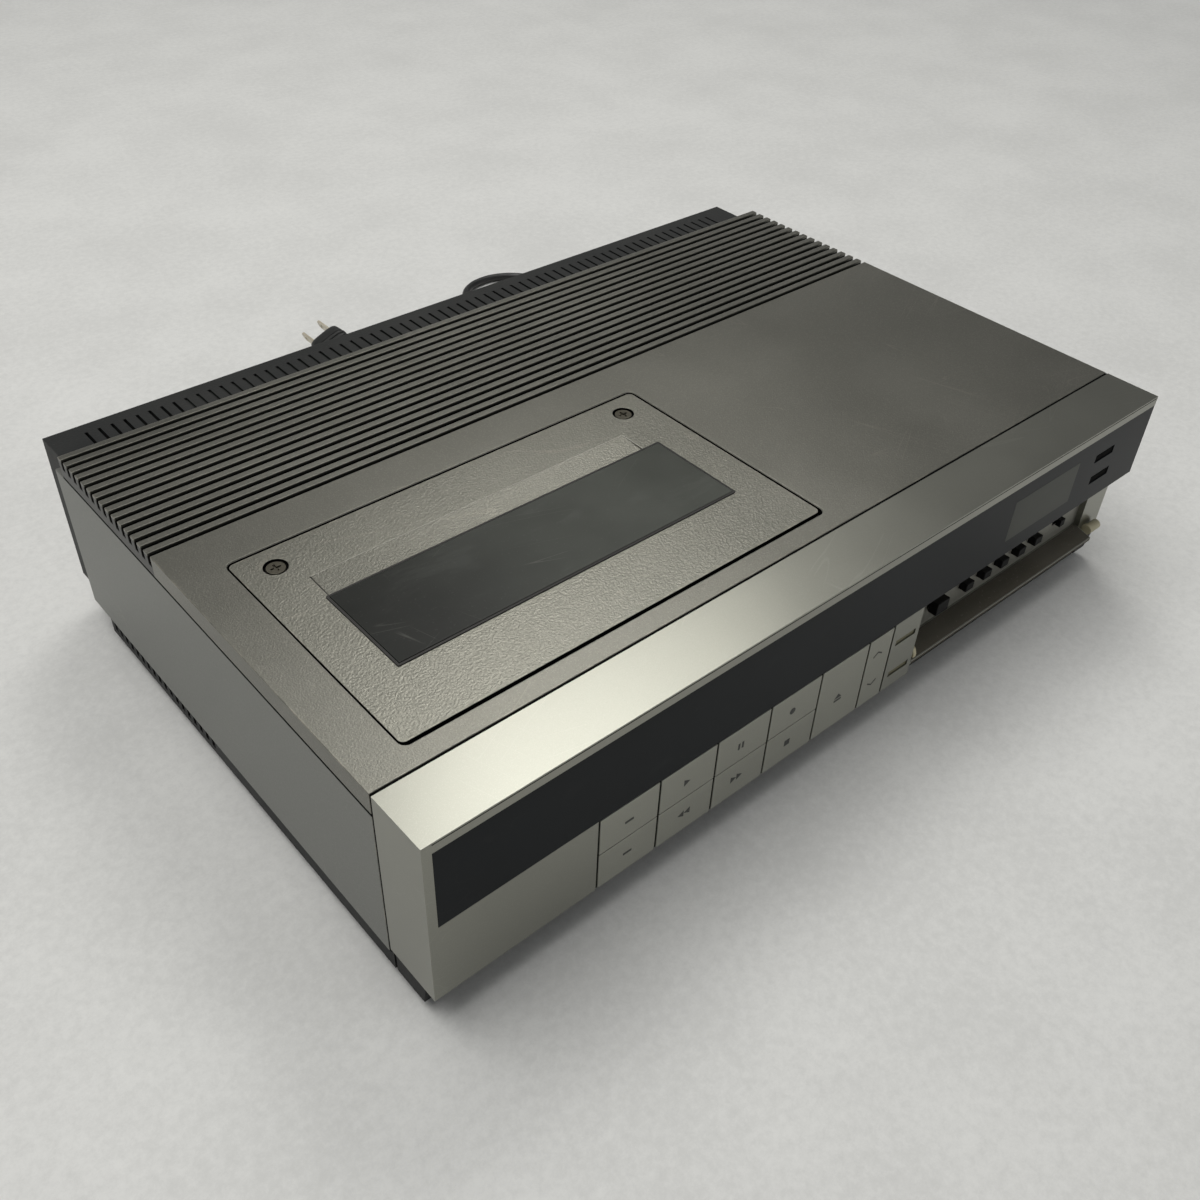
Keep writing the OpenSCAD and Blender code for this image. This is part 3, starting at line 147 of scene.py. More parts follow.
class Graph:
    """Adds nodes to one node tree and links them."""

    def __init__(self, tree: bpy.types.NodeTree) -> None:
        """Keeps the tree that the nodes go into."""
        self.tree = tree

    def feed(self, target: Socket, value: object) -> None:
        """Links or sets one input.

        Args:
            target: The input.
            value: A socket to link from, or a plain value.
        """
        if isinstance(value, Socket):
            self.tree.links.new(value, target)
        else:
            target.default_value = value

    def add(
        self, kind: str, inputs: Mapping[str | int, object] | None = None, **settings: object
    ) -> bpy.types.Node:
        """One new node.

        Args:
            kind: Blender's name of the node's type.
            inputs: A socket to link from, or a plain value, for each input by name or number.
            settings: Properties of the node itself.

        Returns:
            The node.
        """
        made = self.tree.nodes.new(kind)
        for name, value in settings.items():
            setattr(made, name, value)
        for key, value in (inputs or {}).items():
            self.feed(made.inputs[key], value)
        return made

    def math(self, operation: str, *values: object, clamp: bool = False) -> Socket:
        """Result of one Math node.

        Args:
            operation: The node's operation.
            values: Sockets or numbers, in order.
            clamp: Whether the result stays from 0 to 1.

        Returns:
            The value socket.
        """
        inputs = dict(enumerate(values))
        return self.add("ShaderNodeMath", inputs, operation=operation, use_clamp=clamp).outputs[0]

    def times(self, one: object, two: object, clamp: bool = False) -> Socket:
        """Product of two values. See Graph.math."""
        return self.math("MULTIPLY", one, two, clamp=clamp)

    def plus(self, one: object, two: object, clamp: bool = False) -> Socket:
        """Sum of two values. See Graph.math."""
        return self.math("ADD", one, two, clamp=clamp)

    def spread(self, value: Socket, middle: float, width: float) -> Socket:
        """Value from 0 to 1 spread evenly around a middle.

        Args:
            value: The socket to read.
            middle: Middle of the result.
            width: From its lowest to its highest.

        Returns:
            The value socket.
        """
        return self.plus(self.times(value, width), middle - width / 2)

    def vector(self, operation: str, *values: object, **inputs: object) -> Socket:
        """Result of one Vector Math node.

        Args:
            operation: The node's operation.
            values: Sockets or vectors, in order.
            inputs: Further inputs by name, such as Scale.

        Returns:
            The vector socket, or the value socket of a length.
        """
        made = self.add("ShaderNodeVectorMath", {**dict(enumerate(values)), **inputs}, operation=operation)
        return made.outputs[1 if operation == "LENGTH" else 0]

    def remap(
        self, value: Socket, low: float, high: float, to_low: float = 0.0, to_high: float = 1.0
    ) -> Socket:
        """Smooth step of a value.

        Args:
            value: The socket to read.
            low: Value where the step starts.
            high: Value where it ends.
            to_low: Result at the start.
            to_high: Result at the end.

        Returns:
            The stepped value.
        """
        inputs = {"Value": value, "From Min": low, "From Max": high, "To Min": to_low, "To Max": to_high}
        return self.add("ShaderNodeMapRange", inputs, interpolation_type="SMOOTHSTEP").outputs[0]

    def blend(self, factor: Socket, low: object, high: object) -> Socket:
        """Colour between two colours.

        Args:
            factor: Share of the second colour.
            low: First colour.
            high: Second colour.

        Returns:
            The colour socket.
        """
        return self.add("ShaderNodeMix", {0: factor, 6: low, 7: high}, data_type="RGBA").outputs[2]

    def noise(self, vector: Socket, scale: object, detail: float = 2.0, roughness: float = 0.5) -> Socket:
        """Value of a noise texture.

        Args:
            vector: Place that it is read at.
            scale: Repeats per metre.
            detail: Number of finer layers.
            roughness: Strength of the finer layers.

        Returns:
            The value socket.
        """
        inputs = {"Vector": vector, "Scale": scale, "Detail": detail, "Roughness": roughness}
        return self.add("ShaderNodeTexNoise", inputs).outputs["Fac"]

    def bump(self, height: Socket, strength: float, distance: float) -> Socket:
        """Normal of a bumpy surface.

        Args:
            height: Height of the bumps, from 0 to 1.
            strength: How strongly they show.
            distance: Their real height in metres.

        Returns:
            The normal socket.
        """
        inputs = {"Height": height, "Strength": strength, "Distance": distance}
        return self.add("ShaderNodeBump", inputs).outputs[0]

    def place(self) -> Socket:
        """Object coordinates."""
        return self.add("ShaderNodeTexCoord").outputs["Object"]


# Effects that several finishes share


class Effects:
    """Shader node groups, each built once."""

    def __init__(self) -> None:
        """Starts with no group built."""
        self.built: dict[str, bpy.types.NodeTree] = {}

    def _group(
        self, name: str, inputs: Mapping[str, object], *outputs: str
    ) -> tuple[Graph, bpy.types.NodeOutputs, bpy.types.NodeInputs]:
        """A new group with its sockets. Its first input is always the place, Vector.

        Args:
            name: Name of the group.
            inputs: Each further input with its usual value. A tuple of three makes a vector.
            outputs: Names of the value outputs.

        Returns:
            The graph, what the group is given and what it puts out.
        """
        tree = bpy.data.node_groups.new(name, "ShaderNodeTree")
        for label, value in {"Vector": (0.0, 0.0, 0.0), **inputs}.items():
            kind = "NodeSocketVector" if isinstance(value, tuple) else "NodeSocketFloat"
            tree.interface.new_socket(label, in_out="INPUT", socket_type=kind).default_value = value
        for label in outputs:
            tree.interface.new_socket(label, in_out="OUTPUT", socket_type="NodeSocketFloat")
        self.built[name] = tree
        graph = Graph(tree)
        return graph, graph.add("NodeGroupInput").outputs, graph.add("NodeGroupOutput").inputs

    def use(self, graph: Graph, name: str, place: Socket, **inputs: object) -> bpy.types.NodeOutputs:
        """Places a group in a material.

        Args:
            graph: The material's graph.
            name: Name of the group, which is also the method that builds it.
            place: Object coordinates.
            inputs: The group's further inputs, with underscores for spaces.

        Returns:
            What the group puts out.
        """
        if name not in self.built:
            getattr(self, name)()
        made = graph.add("ShaderNodeGroup", node_tree=self.built[name])
        for key, value in {"vector": place, **inputs}.items():
            graph.feed(made.inputs[key.replace("_", " ").title()], value)
        return made.outputs

    def mask(self, graph: Graph, name: str, place: Socket, **inputs: object) -> Socket:
        """First output of a group. See Effects.use."""
        return self.use(graph, name, place, **inputs)[0]

    def moulded_grain(self) -> None:
        """Fine spark-eroded texture of a moulded surface."""
        graph, given, result = self._group("moulded_grain", {"Size": 0.0006}, "Height")
        scale = graph.math("DIVIDE", 1.0, given["Size"])
        fine = graph.noise(given["Vector"], scale, 1.0)
        coarse = graph.noise(given["Vector"], graph.times(scale, 0.37), 1.0)
        graph.feed(result["Height"], graph.plus(graph.remap(fine, 0.35, 0.65), graph.times(coarse, 0.5)))

    def metal_fleck(self) -> None:
        """Light and dark grains of a metallic lacquer."""
        graph, given, result = self._group("metal_fleck", {"Size": 0.0006, "Cover": 0.3}, "Light", "Dark")
        scale = graph.math("DIVIDE", 1.0, given["Size"])
        inputs = {"Vector": given["Vector"], "Scale": scale, "Randomness": 1.0}
        cells = graph.add("ShaderNodeTexVoronoi", inputs)
        chance = graph.add("ShaderNodeSeparateColor", {0: cells.outputs["Color"]}).outputs[0]
        body = graph.remap(cells.outputs["Distance"], 0.25, 0.55, 1.0, 0.0)
        half = graph.times(given["Cover"], 0.5)
        light = graph.math("GREATER_THAN", chance, graph.math("SUBTRACT", 1.0, half))
        dark = graph.math("LESS_THAN", chance, half)
        graph.feed(result["Light"], graph.times(light, body))
        graph.feed(result["Dark"], graph.times(dark, body))

    def edge_rub(self) -> None:
        """Rubbed line along the edges of a box."""
        inputs = {"Centre": (0.0, 0.0, 0.0), "Half Size": (0.1, 0.1, 0.1), "Width": 0.0008}
        graph, given, result = self._group("edge_rub", inputs, "Mask")
        away = graph.vector("ABSOLUTE", graph.vector("SUBTRACT", given["Vector"], given["Centre"]))
        gap = graph.vector("ABSOLUTE", graph.vector("SUBTRACT", given["Half Size"], away))
        x, y, z = graph.add("ShaderNodeSeparateXYZ", {0: gap}).outputs
        least = graph.math("MINIMUM", x, y)
        most = graph.math("MAXIMUM", x, y)
        second = graph.math("MINIMUM", most, graph.math("MAXIMUM", least, z))
        share = graph.math("DIVIDE", second, given["Width"])
        broken = graph.remap(graph.noise(given["Vector"], 120.0, 4.0, 0.6), 0.35, 0.75)
        graph.feed(result["Mask"], graph.times(graph.remap(share, 0.2, 1.0, 1.0, 0.0), broken))

    def settled_dust(self) -> None:
        """Dust that lies on what faces up."""
        graph, given, result = self._group("settled_dust", {"Amount": 0.5}, "Mask")
        facing = graph.add("ShaderNodeSeparateXYZ", {0: graph.add("ShaderNodeNewGeometry").outputs["Normal"]})
        level = graph.remap(facing.outputs[2], 0.55, 0.95)
        patches = graph.remap(graph.noise(given["Vector"], 14.0, 4.0, 0.6), 0.38, 0.7)
        specks = graph.remap(graph.noise(given["Vector"], 900.0, 1.0), 0.66, 0.74)
        both = graph.plus(graph.times(patches, 0.6), specks)
        graph.feed(result["Mask"], graph.times(graph.times(both, level), given["Amount"], clamp=True))

    def fine_scratches(self) -> None:
        """Thin straight scratches in a few directions."""
        graph, given, result = self._group("fine_scratches", {"Spacing": 0.004, "Density": 0.5}, "Mask")
        scale = graph.math("DIVIDE", 1.0, given["Spacing"])
        total: Socket | None = None
        for index, turn in enumerate((0.35, 1.25, 2.7)):
            shift = {"Rotation": (0.0, 0.0, turn), "Location": (0.31 * index, 0.17, 0.0)}
            turned = graph.add("ShaderNodeMapping", {"Vector": given["Vector"], **shift}).outputs[0]
            drawn = graph.vector("MULTIPLY", turned, (0.07, 1.0, 1.0))
            line = graph.math("ABSOLUTE", graph.math("SUBTRACT", graph.noise(drawn, scale, 0.0), 0.5))
            thin = graph.remap(line, 0.0, 0.006, 1.0, 0.0)
            where = graph.remap(graph.noise(turned, 22.0, 1.0), 0.56, 0.62)
            part = graph.times(thin, where)
            total = part if total is None else graph.math("MAXIMUM", total, part)
        graph.feed(result["Mask"], graph.times(total, given["Density"], clamp=True))

    def cloud(self) -> None:
        """Slow change over a surface, from 0 to 1."""
        graph, given, result = self._group("cloud", {"Size": 0.08}, "Value")
        scale = graph.math("DIVIDE", 1.0, given["Size"])
        graph.feed(result["Value"], graph.remap(graph.noise(given["Vector"], scale, 3.0, 0.55), 0.25, 0.75))

    def wiped_smears(self) -> None:
        """Smears that a cloth or a finger leaves on gloss."""
        graph, given, result = self._group("wiped_smears", {"Size": 0.012}, "Mask")
        scale = graph.math("DIVIDE", 1.0, given["Size"])
        bend = graph.add("ShaderNodeTexNoise", {"Vector": given["Vector"], "Scale": 18.0, "Detail": 2.0})
        offset = graph.vector("SCALE", bend.outputs["Color"], Scale=0.02)
        moved = graph.vector("ADD", given["Vector"], offset)
        shift = {"Rotation": (0.0, 0.0, 0.5), "Scale": (0.35, 1.6, 1.0)}
        turned = graph.add("ShaderNodeMapping", {"Vector": moved, **shift}).outputs[0]
        streaks = graph.remap(graph.noise(turned, scale, 4.0, 0.65), 0.5, 0.68)
        spots = graph.remap(graph.noise(given["Vector"], 40.0, 2.0), 0.45, 0.65)
        graph.feed(result["Mask"], graph.times(streaks, spots))


EFFECTS = Effects()


# Finishes


@dataclass(frozen=True)
class Box:
    """Box that an edge finish follows."""

    centre: Point
    half: Point


@dataclass(frozen=True)
class Shade:
    """Painted shade on part of a finish: a box, its strength at the left and right ends, and its fade at the
    top.
    """

    low: Point
    high: Point
    left: float
    right: float
    fade: float = 0.0001

    def mask(self, graph: Graph, place: Socket) -> Socket:
        """Strength of the shade at a place.

        Args:
            graph: The material's graph.
            place: Object coordinates.

        Returns:
            The value socket, 0 outside the box.
        """
        parts = graph.add("ShaderNodeSeparateXYZ", {0: place}).outputs
        mask = graph.remap(parts[0], self.low[0], self.high[0], self.left, self.right)
        for part, low, high in zip(parts, self.low, self.high):
            above = graph.math("GREATER_THAN", part, low)
            below = graph.math("LESS_THAN", part, high)
            mask = graph.times(mask, graph.times(above, below))
        return graph.times(mask, graph.remap(parts[2], self.high[2] - self.fade, self.high[2], 1.0, 0.0))


@dataclass(frozen=True)
class Finish:
    """A finish with its colour. Each kind says how the surface is made."""

    name: str
    colour: Screen
    roughness: float = 0.5

    def surface(self, graph: Graph, place: Socket, box: Box | None) -> dict[str, object]:
        """Inputs of the surface shader.

        Args:
            graph: The material's graph.
            place: Object coordinates.
            box: Box whose edges are rubbed, if any.

        Returns:
            A value or a socket for each named input.
        """
        raise NotImplementedError

    def tones(self, graph: Graph, mask: Socket, dark: float, light: float) -> Socket:
        """Colour between a darker and a lighter tone of the finish.

        Args:
            graph: The material's graph.
            mask: 0 for the darker tone, 1 for the lighter one.
            dark: Strength of the darker tone.
            light: Strength of the lighter tone.

        Returns:
            The colour socket.
        """
        base = tint(self.colour)
        return graph.blend(mask, scaled(base, dark), scaled(base, light))

    def build(self, suffix: str = "", box: Box | None = None) -> bpy.types.Material:
        """The Blender material.

        Args:
            suffix: Added to the name where the finish follows one piece's box.
            box: Box whose edges are rubbed, if any.

        Returns:
            The material, built once for each name.
        """
        name = "finish_" + self.name + suffix
        known = bpy.data.materials.get(name)
        if known:
            return known
        material = bpy.data.materials.new(name)
        material.use_nodes = True
        material.node_tree.nodes.clear()
        graph = Graph(material.node_tree)
        shader = graph.add("ShaderNodeBsdfPrincipled", self.surface(graph, graph.place(), box))
        graph.add("ShaderNodeOutputMaterial", {"Surface": shader.outputs[0]})
        return material


@dataclass(frozen=True)
class EdgeWear:
    """Rubbed edges of a finish."""

    width: float
    cover: float
    worn: Screen

    def over(self, graph: Graph, place: Socket, box: Box | None, colour: Socket) -> Socket:
        """A colour with its edges rubbed.

        Args:
            graph: The material's graph.
            place: Object coordinates.
            box: Box whose edges are rubbed, if any.
            colour: The colour away from the edges.

        Returns:
            The colour socket.
        """
        if box is None:
            return colour
        rub = EFFECTS.mask(graph, "edge_rub", place, centre=box.centre, half_size=box.half, width=self.width)
        return graph.blend(graph.times(rub, self.cover), colour, tint(self.worn))


@dataclass(frozen=True)
class SpeckledLacquer(Finish):
    """Metallic lacquer with light and dark grains over moulded plastic."""

    fleck_size: float = 0.0007
    fleck: float = 0.3
    metallic: float = 0.4
    grain: float = 0.2
    grain_size: float = 0.0007
    edges: EdgeWear = EdgeWear(0.0007, 0.6, (170, 165, 152))
    dust: float = 0.3
    dust_cover: float = 0.22
    dust_colour: Screen = (188, 186, 178)
    scratches: float = 0.16
    # Painted shade over part of the lacquer, if any, and its near-black colour.
    shade: Shade | None = None
    shade_colour: Screen = (8, 8, 7)

    def surface(self, graph: Graph, place: Socket, box: Box | None) -> dict[str, object]:
        """Inputs of the lacquer. See Finish.surface."""
        base = tint(self.colour)
        fleck = EFFECTS.use(graph, "metal_fleck", place, size=self.fleck_size, cover=0.7)
        cloud = EFFECTS.mask(graph, "cloud", place, size=0.09)
        colour = self.tones(graph, cloud, 0.95, 1.04)
        colour = graph.blend(graph.times(fleck["Light"], 0.9), colour, scaled(base, 1 + 1.6 * self.fleck))
        colour = graph.blend(graph.times(fleck["Dark"], 0.9), colour, scaled(base, 1 - 0.75 * self.fleck))
        colour = self.edges.over(graph, place, box, colour)
        marks = EFFECTS.mask(graph, "fine_scratches", place, spacing=0.01, density=self.scratches)
        colour = graph.blend(marks, colour, tint(self.edges.worn))
        dust = EFFECTS.mask(graph, "settled_dust", place, amount=self.dust)
        colour = graph.blend(graph.times(dust, self.dust_cover), colour, tint(self.dust_colour))
        # Painted shade: the colour darkens towards the shade colour inside the shade's box.
        if self.shade:
            colour = graph.blend(self.shade.mask(graph, place), colour, tint(self.shade_colour))
        grain = EFFECTS.mask(graph, "moulded_grain", place, size=self.grain_size)
        rough = graph.plus(graph.spread(cloud, self.roughness, 0.03), graph.times(dust, 0.12), clamp=True)
        return {"Base Color": colour, "Roughness": rough, "Metallic": self.metallic,
                "Normal": graph.bump(grain, self.grain, 0.00008)}


@dataclass(frozen=True)
class MouldedPlastic(Finish):
    """Plain moulded plastic with a spark-eroded grain."""

    grain: float = 0.25
    grain_size: float = 0.0009
    edges: EdgeWear = EdgeWear(0.0006, 0.55, (92, 92, 90))
    dust: float = 0.35
    dust_cover: float = 0.3
    dust_colour: Screen = (150, 148, 140)
    specular: float = 0.5

    def surface(self, graph: Graph, place: Socket, box: Box | None) -> dict[str, object]:
        """Inputs of the plastic. See Finish.surface."""
        cloud = EFFECTS.mask(graph, "cloud", place, size=0.05)
        colour = self.edges.over(graph, place, box, self.tones(graph, cloud, 0.85, 1.15))
        dust = EFFECTS.mask(graph, "settled_dust", place, amount=self.dust)
        colour = graph.blend(graph.times(dust, self.dust_cover), colour, tint(self.dust_colour))
        grain = EFFECTS.mask(graph, "moulded_grain", place, size=self.grain_size)
        rough = graph.plus(graph.spread(cloud, self.roughness, 0.1), graph.times(dust, 0.15), clamp=True)
        return {"Base Color": colour, "Roughness": rough, "Specular IOR Level": self.specular,
                "Normal": graph.bump(grain, self.grain, 0.0001)}


@dataclass(frozen=True)
class GlossAcrylic(Finish):
    """Dark polished acrylic with wiped smears and fine scratches."""

    smear: float = 0.4
    smear_colour: Screen = (112, 114, 110)
    scratch: float = 0.5
    scratch_colour: Screen = (120, 122, 122)
    dust_colour: Screen = (150, 150, 146)
    specular: float = 0.5
    # Painted shade over part of the acrylic, if any, and its colour.
    shade: Shade | None = None
    shade_colour: Screen = (12, 13, 12)

    def surface(self, graph: Graph, place: Socket, box: Box | None) -> dict[str, object]:
        """Inputs of the acrylic. See Finish.surface."""
        smears = EFFECTS.mask(graph, "wiped_smears", place, size=0.012)
        marks = EFFECTS.mask(graph, "fine_scratches", place, spacing=0.008, density=self.scratch)
        dust = EFFECTS.mask(graph, "settled_dust", place, amount=0.5)
        film = graph.times(smears, self.smear)
        colour = self.tones(graph, EFFECTS.mask(graph, "cloud", place, size=0.06), 0.82, 1.2)
        # Painted shade: darkens the colour inside the shade's box.
        if self.shade:
            colour = graph.blend(self.shade.mask(graph, place), colour, tint(self.shade_colour))
        colour = graph.blend(graph.times(film, 0.25), colour, tint(self.smear_colour))
        colour = graph.blend(graph.times(marks, 0.5), colour, tint(self.scratch_colour))
        colour = graph.blend(graph.times(dust, 0.07), colour, tint(self.dust_colour))
        rough = graph.plus(graph.times(film, 0.35), self.roughness)
        rough = graph.plus(rough, graph.times(dust, 0.2), clamp=True)
        wave = graph.noise(place, 25.0, 1.0)
        return {"Base Color": colour, "Roughness": rough, "Specular IOR Level": self.specular,
                "Normal": graph.bump(wave, 0.06, 0.0004)}


@dataclass(frozen=True)
class SheetMetal(Finish):
    """Plated, turned or bare sheet metal."""

    grain: float = 0.15
    lay: Point = (1.0, 1.0, 1.0)
    spangle: float = 0.0
    metallic: float = 1.0
    tarnish: Screen = (120, 112, 96)

    def surface(self, graph: Graph, place: Socket, box: Box | None) -> dict[str, object]:
        """Inputs of the metal. See Finish.surface."""
        base = tint(self.colour)
        cloud = EFFECTS.mask(graph, "cloud", place, size=0.03)
        lines = graph.noise(graph.vector("MULTIPLY", place, self.lay), 2600.0, 2.0)
        colour = graph.blend(graph.times(cloud, 0.35), base, tint(self.tarnish))
        if self.spangle:
            cells = graph.add("ShaderNodeTexVoronoi", {"Vector": place, "Scale": 260.0})
            value = graph.add("ShaderNodeSeparateColor", {0: cells.outputs["Color"]}).outputs[0]
            colour = graph.blend(graph.times(value, self.spangle), colour, scaled(base, 1.2))
        marks = EFFECTS.mask(graph, "fine_scratches", place, spacing=0.006, density=0.35)
        rough = graph.plus(graph.spread(lines, self.roughness, 0.16), graph.times(marks, 0.2), clamp=True)
        return {"Base Color": colour, "Roughness": rough, "Metallic": self.metallic,
                "Normal": graph.bump(lines, self.grain, 0.00005)}


@dataclass(frozen=True)
class RubberJacket(Finish):
    """Matt rubber or soft vinyl with a faint bloom."""

    bloom: float = 0.25
    bloom_colour: Screen = (74, 73, 70)
    dust: float = 0.25
    dust_colour: Screen = (140, 138, 132)

    def surface(self, graph: Graph, place: Socket, box: Box | None) -> dict[str, object]:
        """Inputs of the rubber. See Finish.surface."""
        cloud = EFFECTS.mask(graph, "cloud", place, size=0.02)
        dust = EFFECTS.mask(graph, "settled_dust", place, amount=0.5)
        colour = graph.blend(graph.times(cloud, self.bloom), tint(self.colour), tint(self.bloom_colour))
        colour = graph.blend(graph.times(dust, self.dust), colour, tint(self.dust_colour))
        grain = EFFECTS.mask(graph, "moulded_grain", place, size=0.0005)
        return {"Base Color": colour, "Roughness": graph.spread(cloud, self.roughness, 0.12),
                "Normal": graph.bump(grain, 0.18, 0.00006)}


@dataclass(frozen=True)
class PrintedBoard(Finish):
    """Circuit board with pale copper tracks under green varnish."""

    track: Screen = (96, 140, 84)
    solder: Screen = (176, 176, 168)
    pitch: float = 0.0032

    def surface(self, graph: Graph, place: Socket, box: Box | None) -> dict[str, object]:
        """Inputs of the board. See Finish.surface."""
        bricks = {"Vector": place, "Scale": 1.0, "Mortar Size": self.pitch * 0.16,
                  "Brick Width": self.pitch * 4, "Row Height": self.pitch, "Color1": (1, 1, 1, 1),
                  "Color2": (0, 0, 0, 1), "Mortar": (0.5, 0.5, 0.5, 1)}
        cells = graph.add("ShaderNodeTexBrick", bricks)
        lines = graph.times(cells.outputs["Fac"], graph.remap(graph.noise(place, 70.0, 1.0), 0.4, 0.5))
        pads = graph.add("ShaderNodeTexVoronoi", {"Vector": place, "Scale": 210.0})
        solder = graph.remap(pads.outputs["Distance"], 0.12, 0.18, 1.0, 0.0)
        colour = graph.blend(graph.times(lines, 0.8), tint(self.colour), tint(self.track))
        colour = graph.blend(solder, colour, tint(self.solder))
        rough = graph.math("SUBTRACT", self.roughness, graph.times(solder, 0.12))
        return {"Base Color": colour, "Roughness": rough, "Metallic": graph.times(solder, 0.8),
                "Normal": graph.bump(graph.plus(solder, lines), 0.4, 0.0001)}


@dataclass(frozen=True)
class PrintInk(Finish):
    """Screen-printed ink, slightly worn."""

    under: Screen = (150, 148, 138)

    def surface(self, graph: Graph, place: Socket, box: Box | None) -> dict[str, object]:
        """Inputs of the ink. See Finish.surface."""
        wear = graph.remap(graph.noise(place, 1500.0, 3.0, 0.7), 0.62, 0.72)
        colour = graph.blend(graph.times(wear, 0.5), tint(self.colour), tint(self.under))
        return {"Base Color": colour, "Roughness": graph.plus(graph.times(wear, 0.1), self.roughness)}


@dataclass(frozen=True)
class PaleFloor(Finish):
    """Plain pale floor with a faint mottle, which turns into the pale background far from the object."""

    near_edge: float = 0.8
    far_edge: float = 4.2
    far_light: float = 0.36
    far_colour: Colour = (0.97, 0.985, 1.0, 1.0)

    def surface(self, graph: Graph, place: Socket, box: Box | None) -> dict[str, object]:
        """Inputs of the floor. See Finish.surface."""
        fibres = graph.noise(place, 210.0, 5.0, 0.8)
        patches = graph.noise(place, 11.0, 4.0, 0.6)
        value = graph.plus(graph.times(fibres, 0.6), graph.times(patches, 0.4))
        colour = self.tones(graph, graph.remap(value, 0.35, 0.65), 0.92, 1.06)
        path = graph.add("ShaderNodeLightPath").outputs
        seen = graph.math("MAXIMUM", path["Is Glossy Ray"], path["Is Transmission Ray"])
        seen = graph.math("MAXIMUM", path["Is Camera Ray"], seen)
        far = graph.remap(graph.vector("LENGTH", place), self.near_edge, self.far_edge, 0.0, self.far_light)
        return {"Base Color": colour, "Roughness": self.roughness, "Specular IOR Level": 0.25,
                "Emission Color": self.far_colour, "Emission Strength": graph.times(far, seen)}


SILVER_WORN = (178, 177, 168)


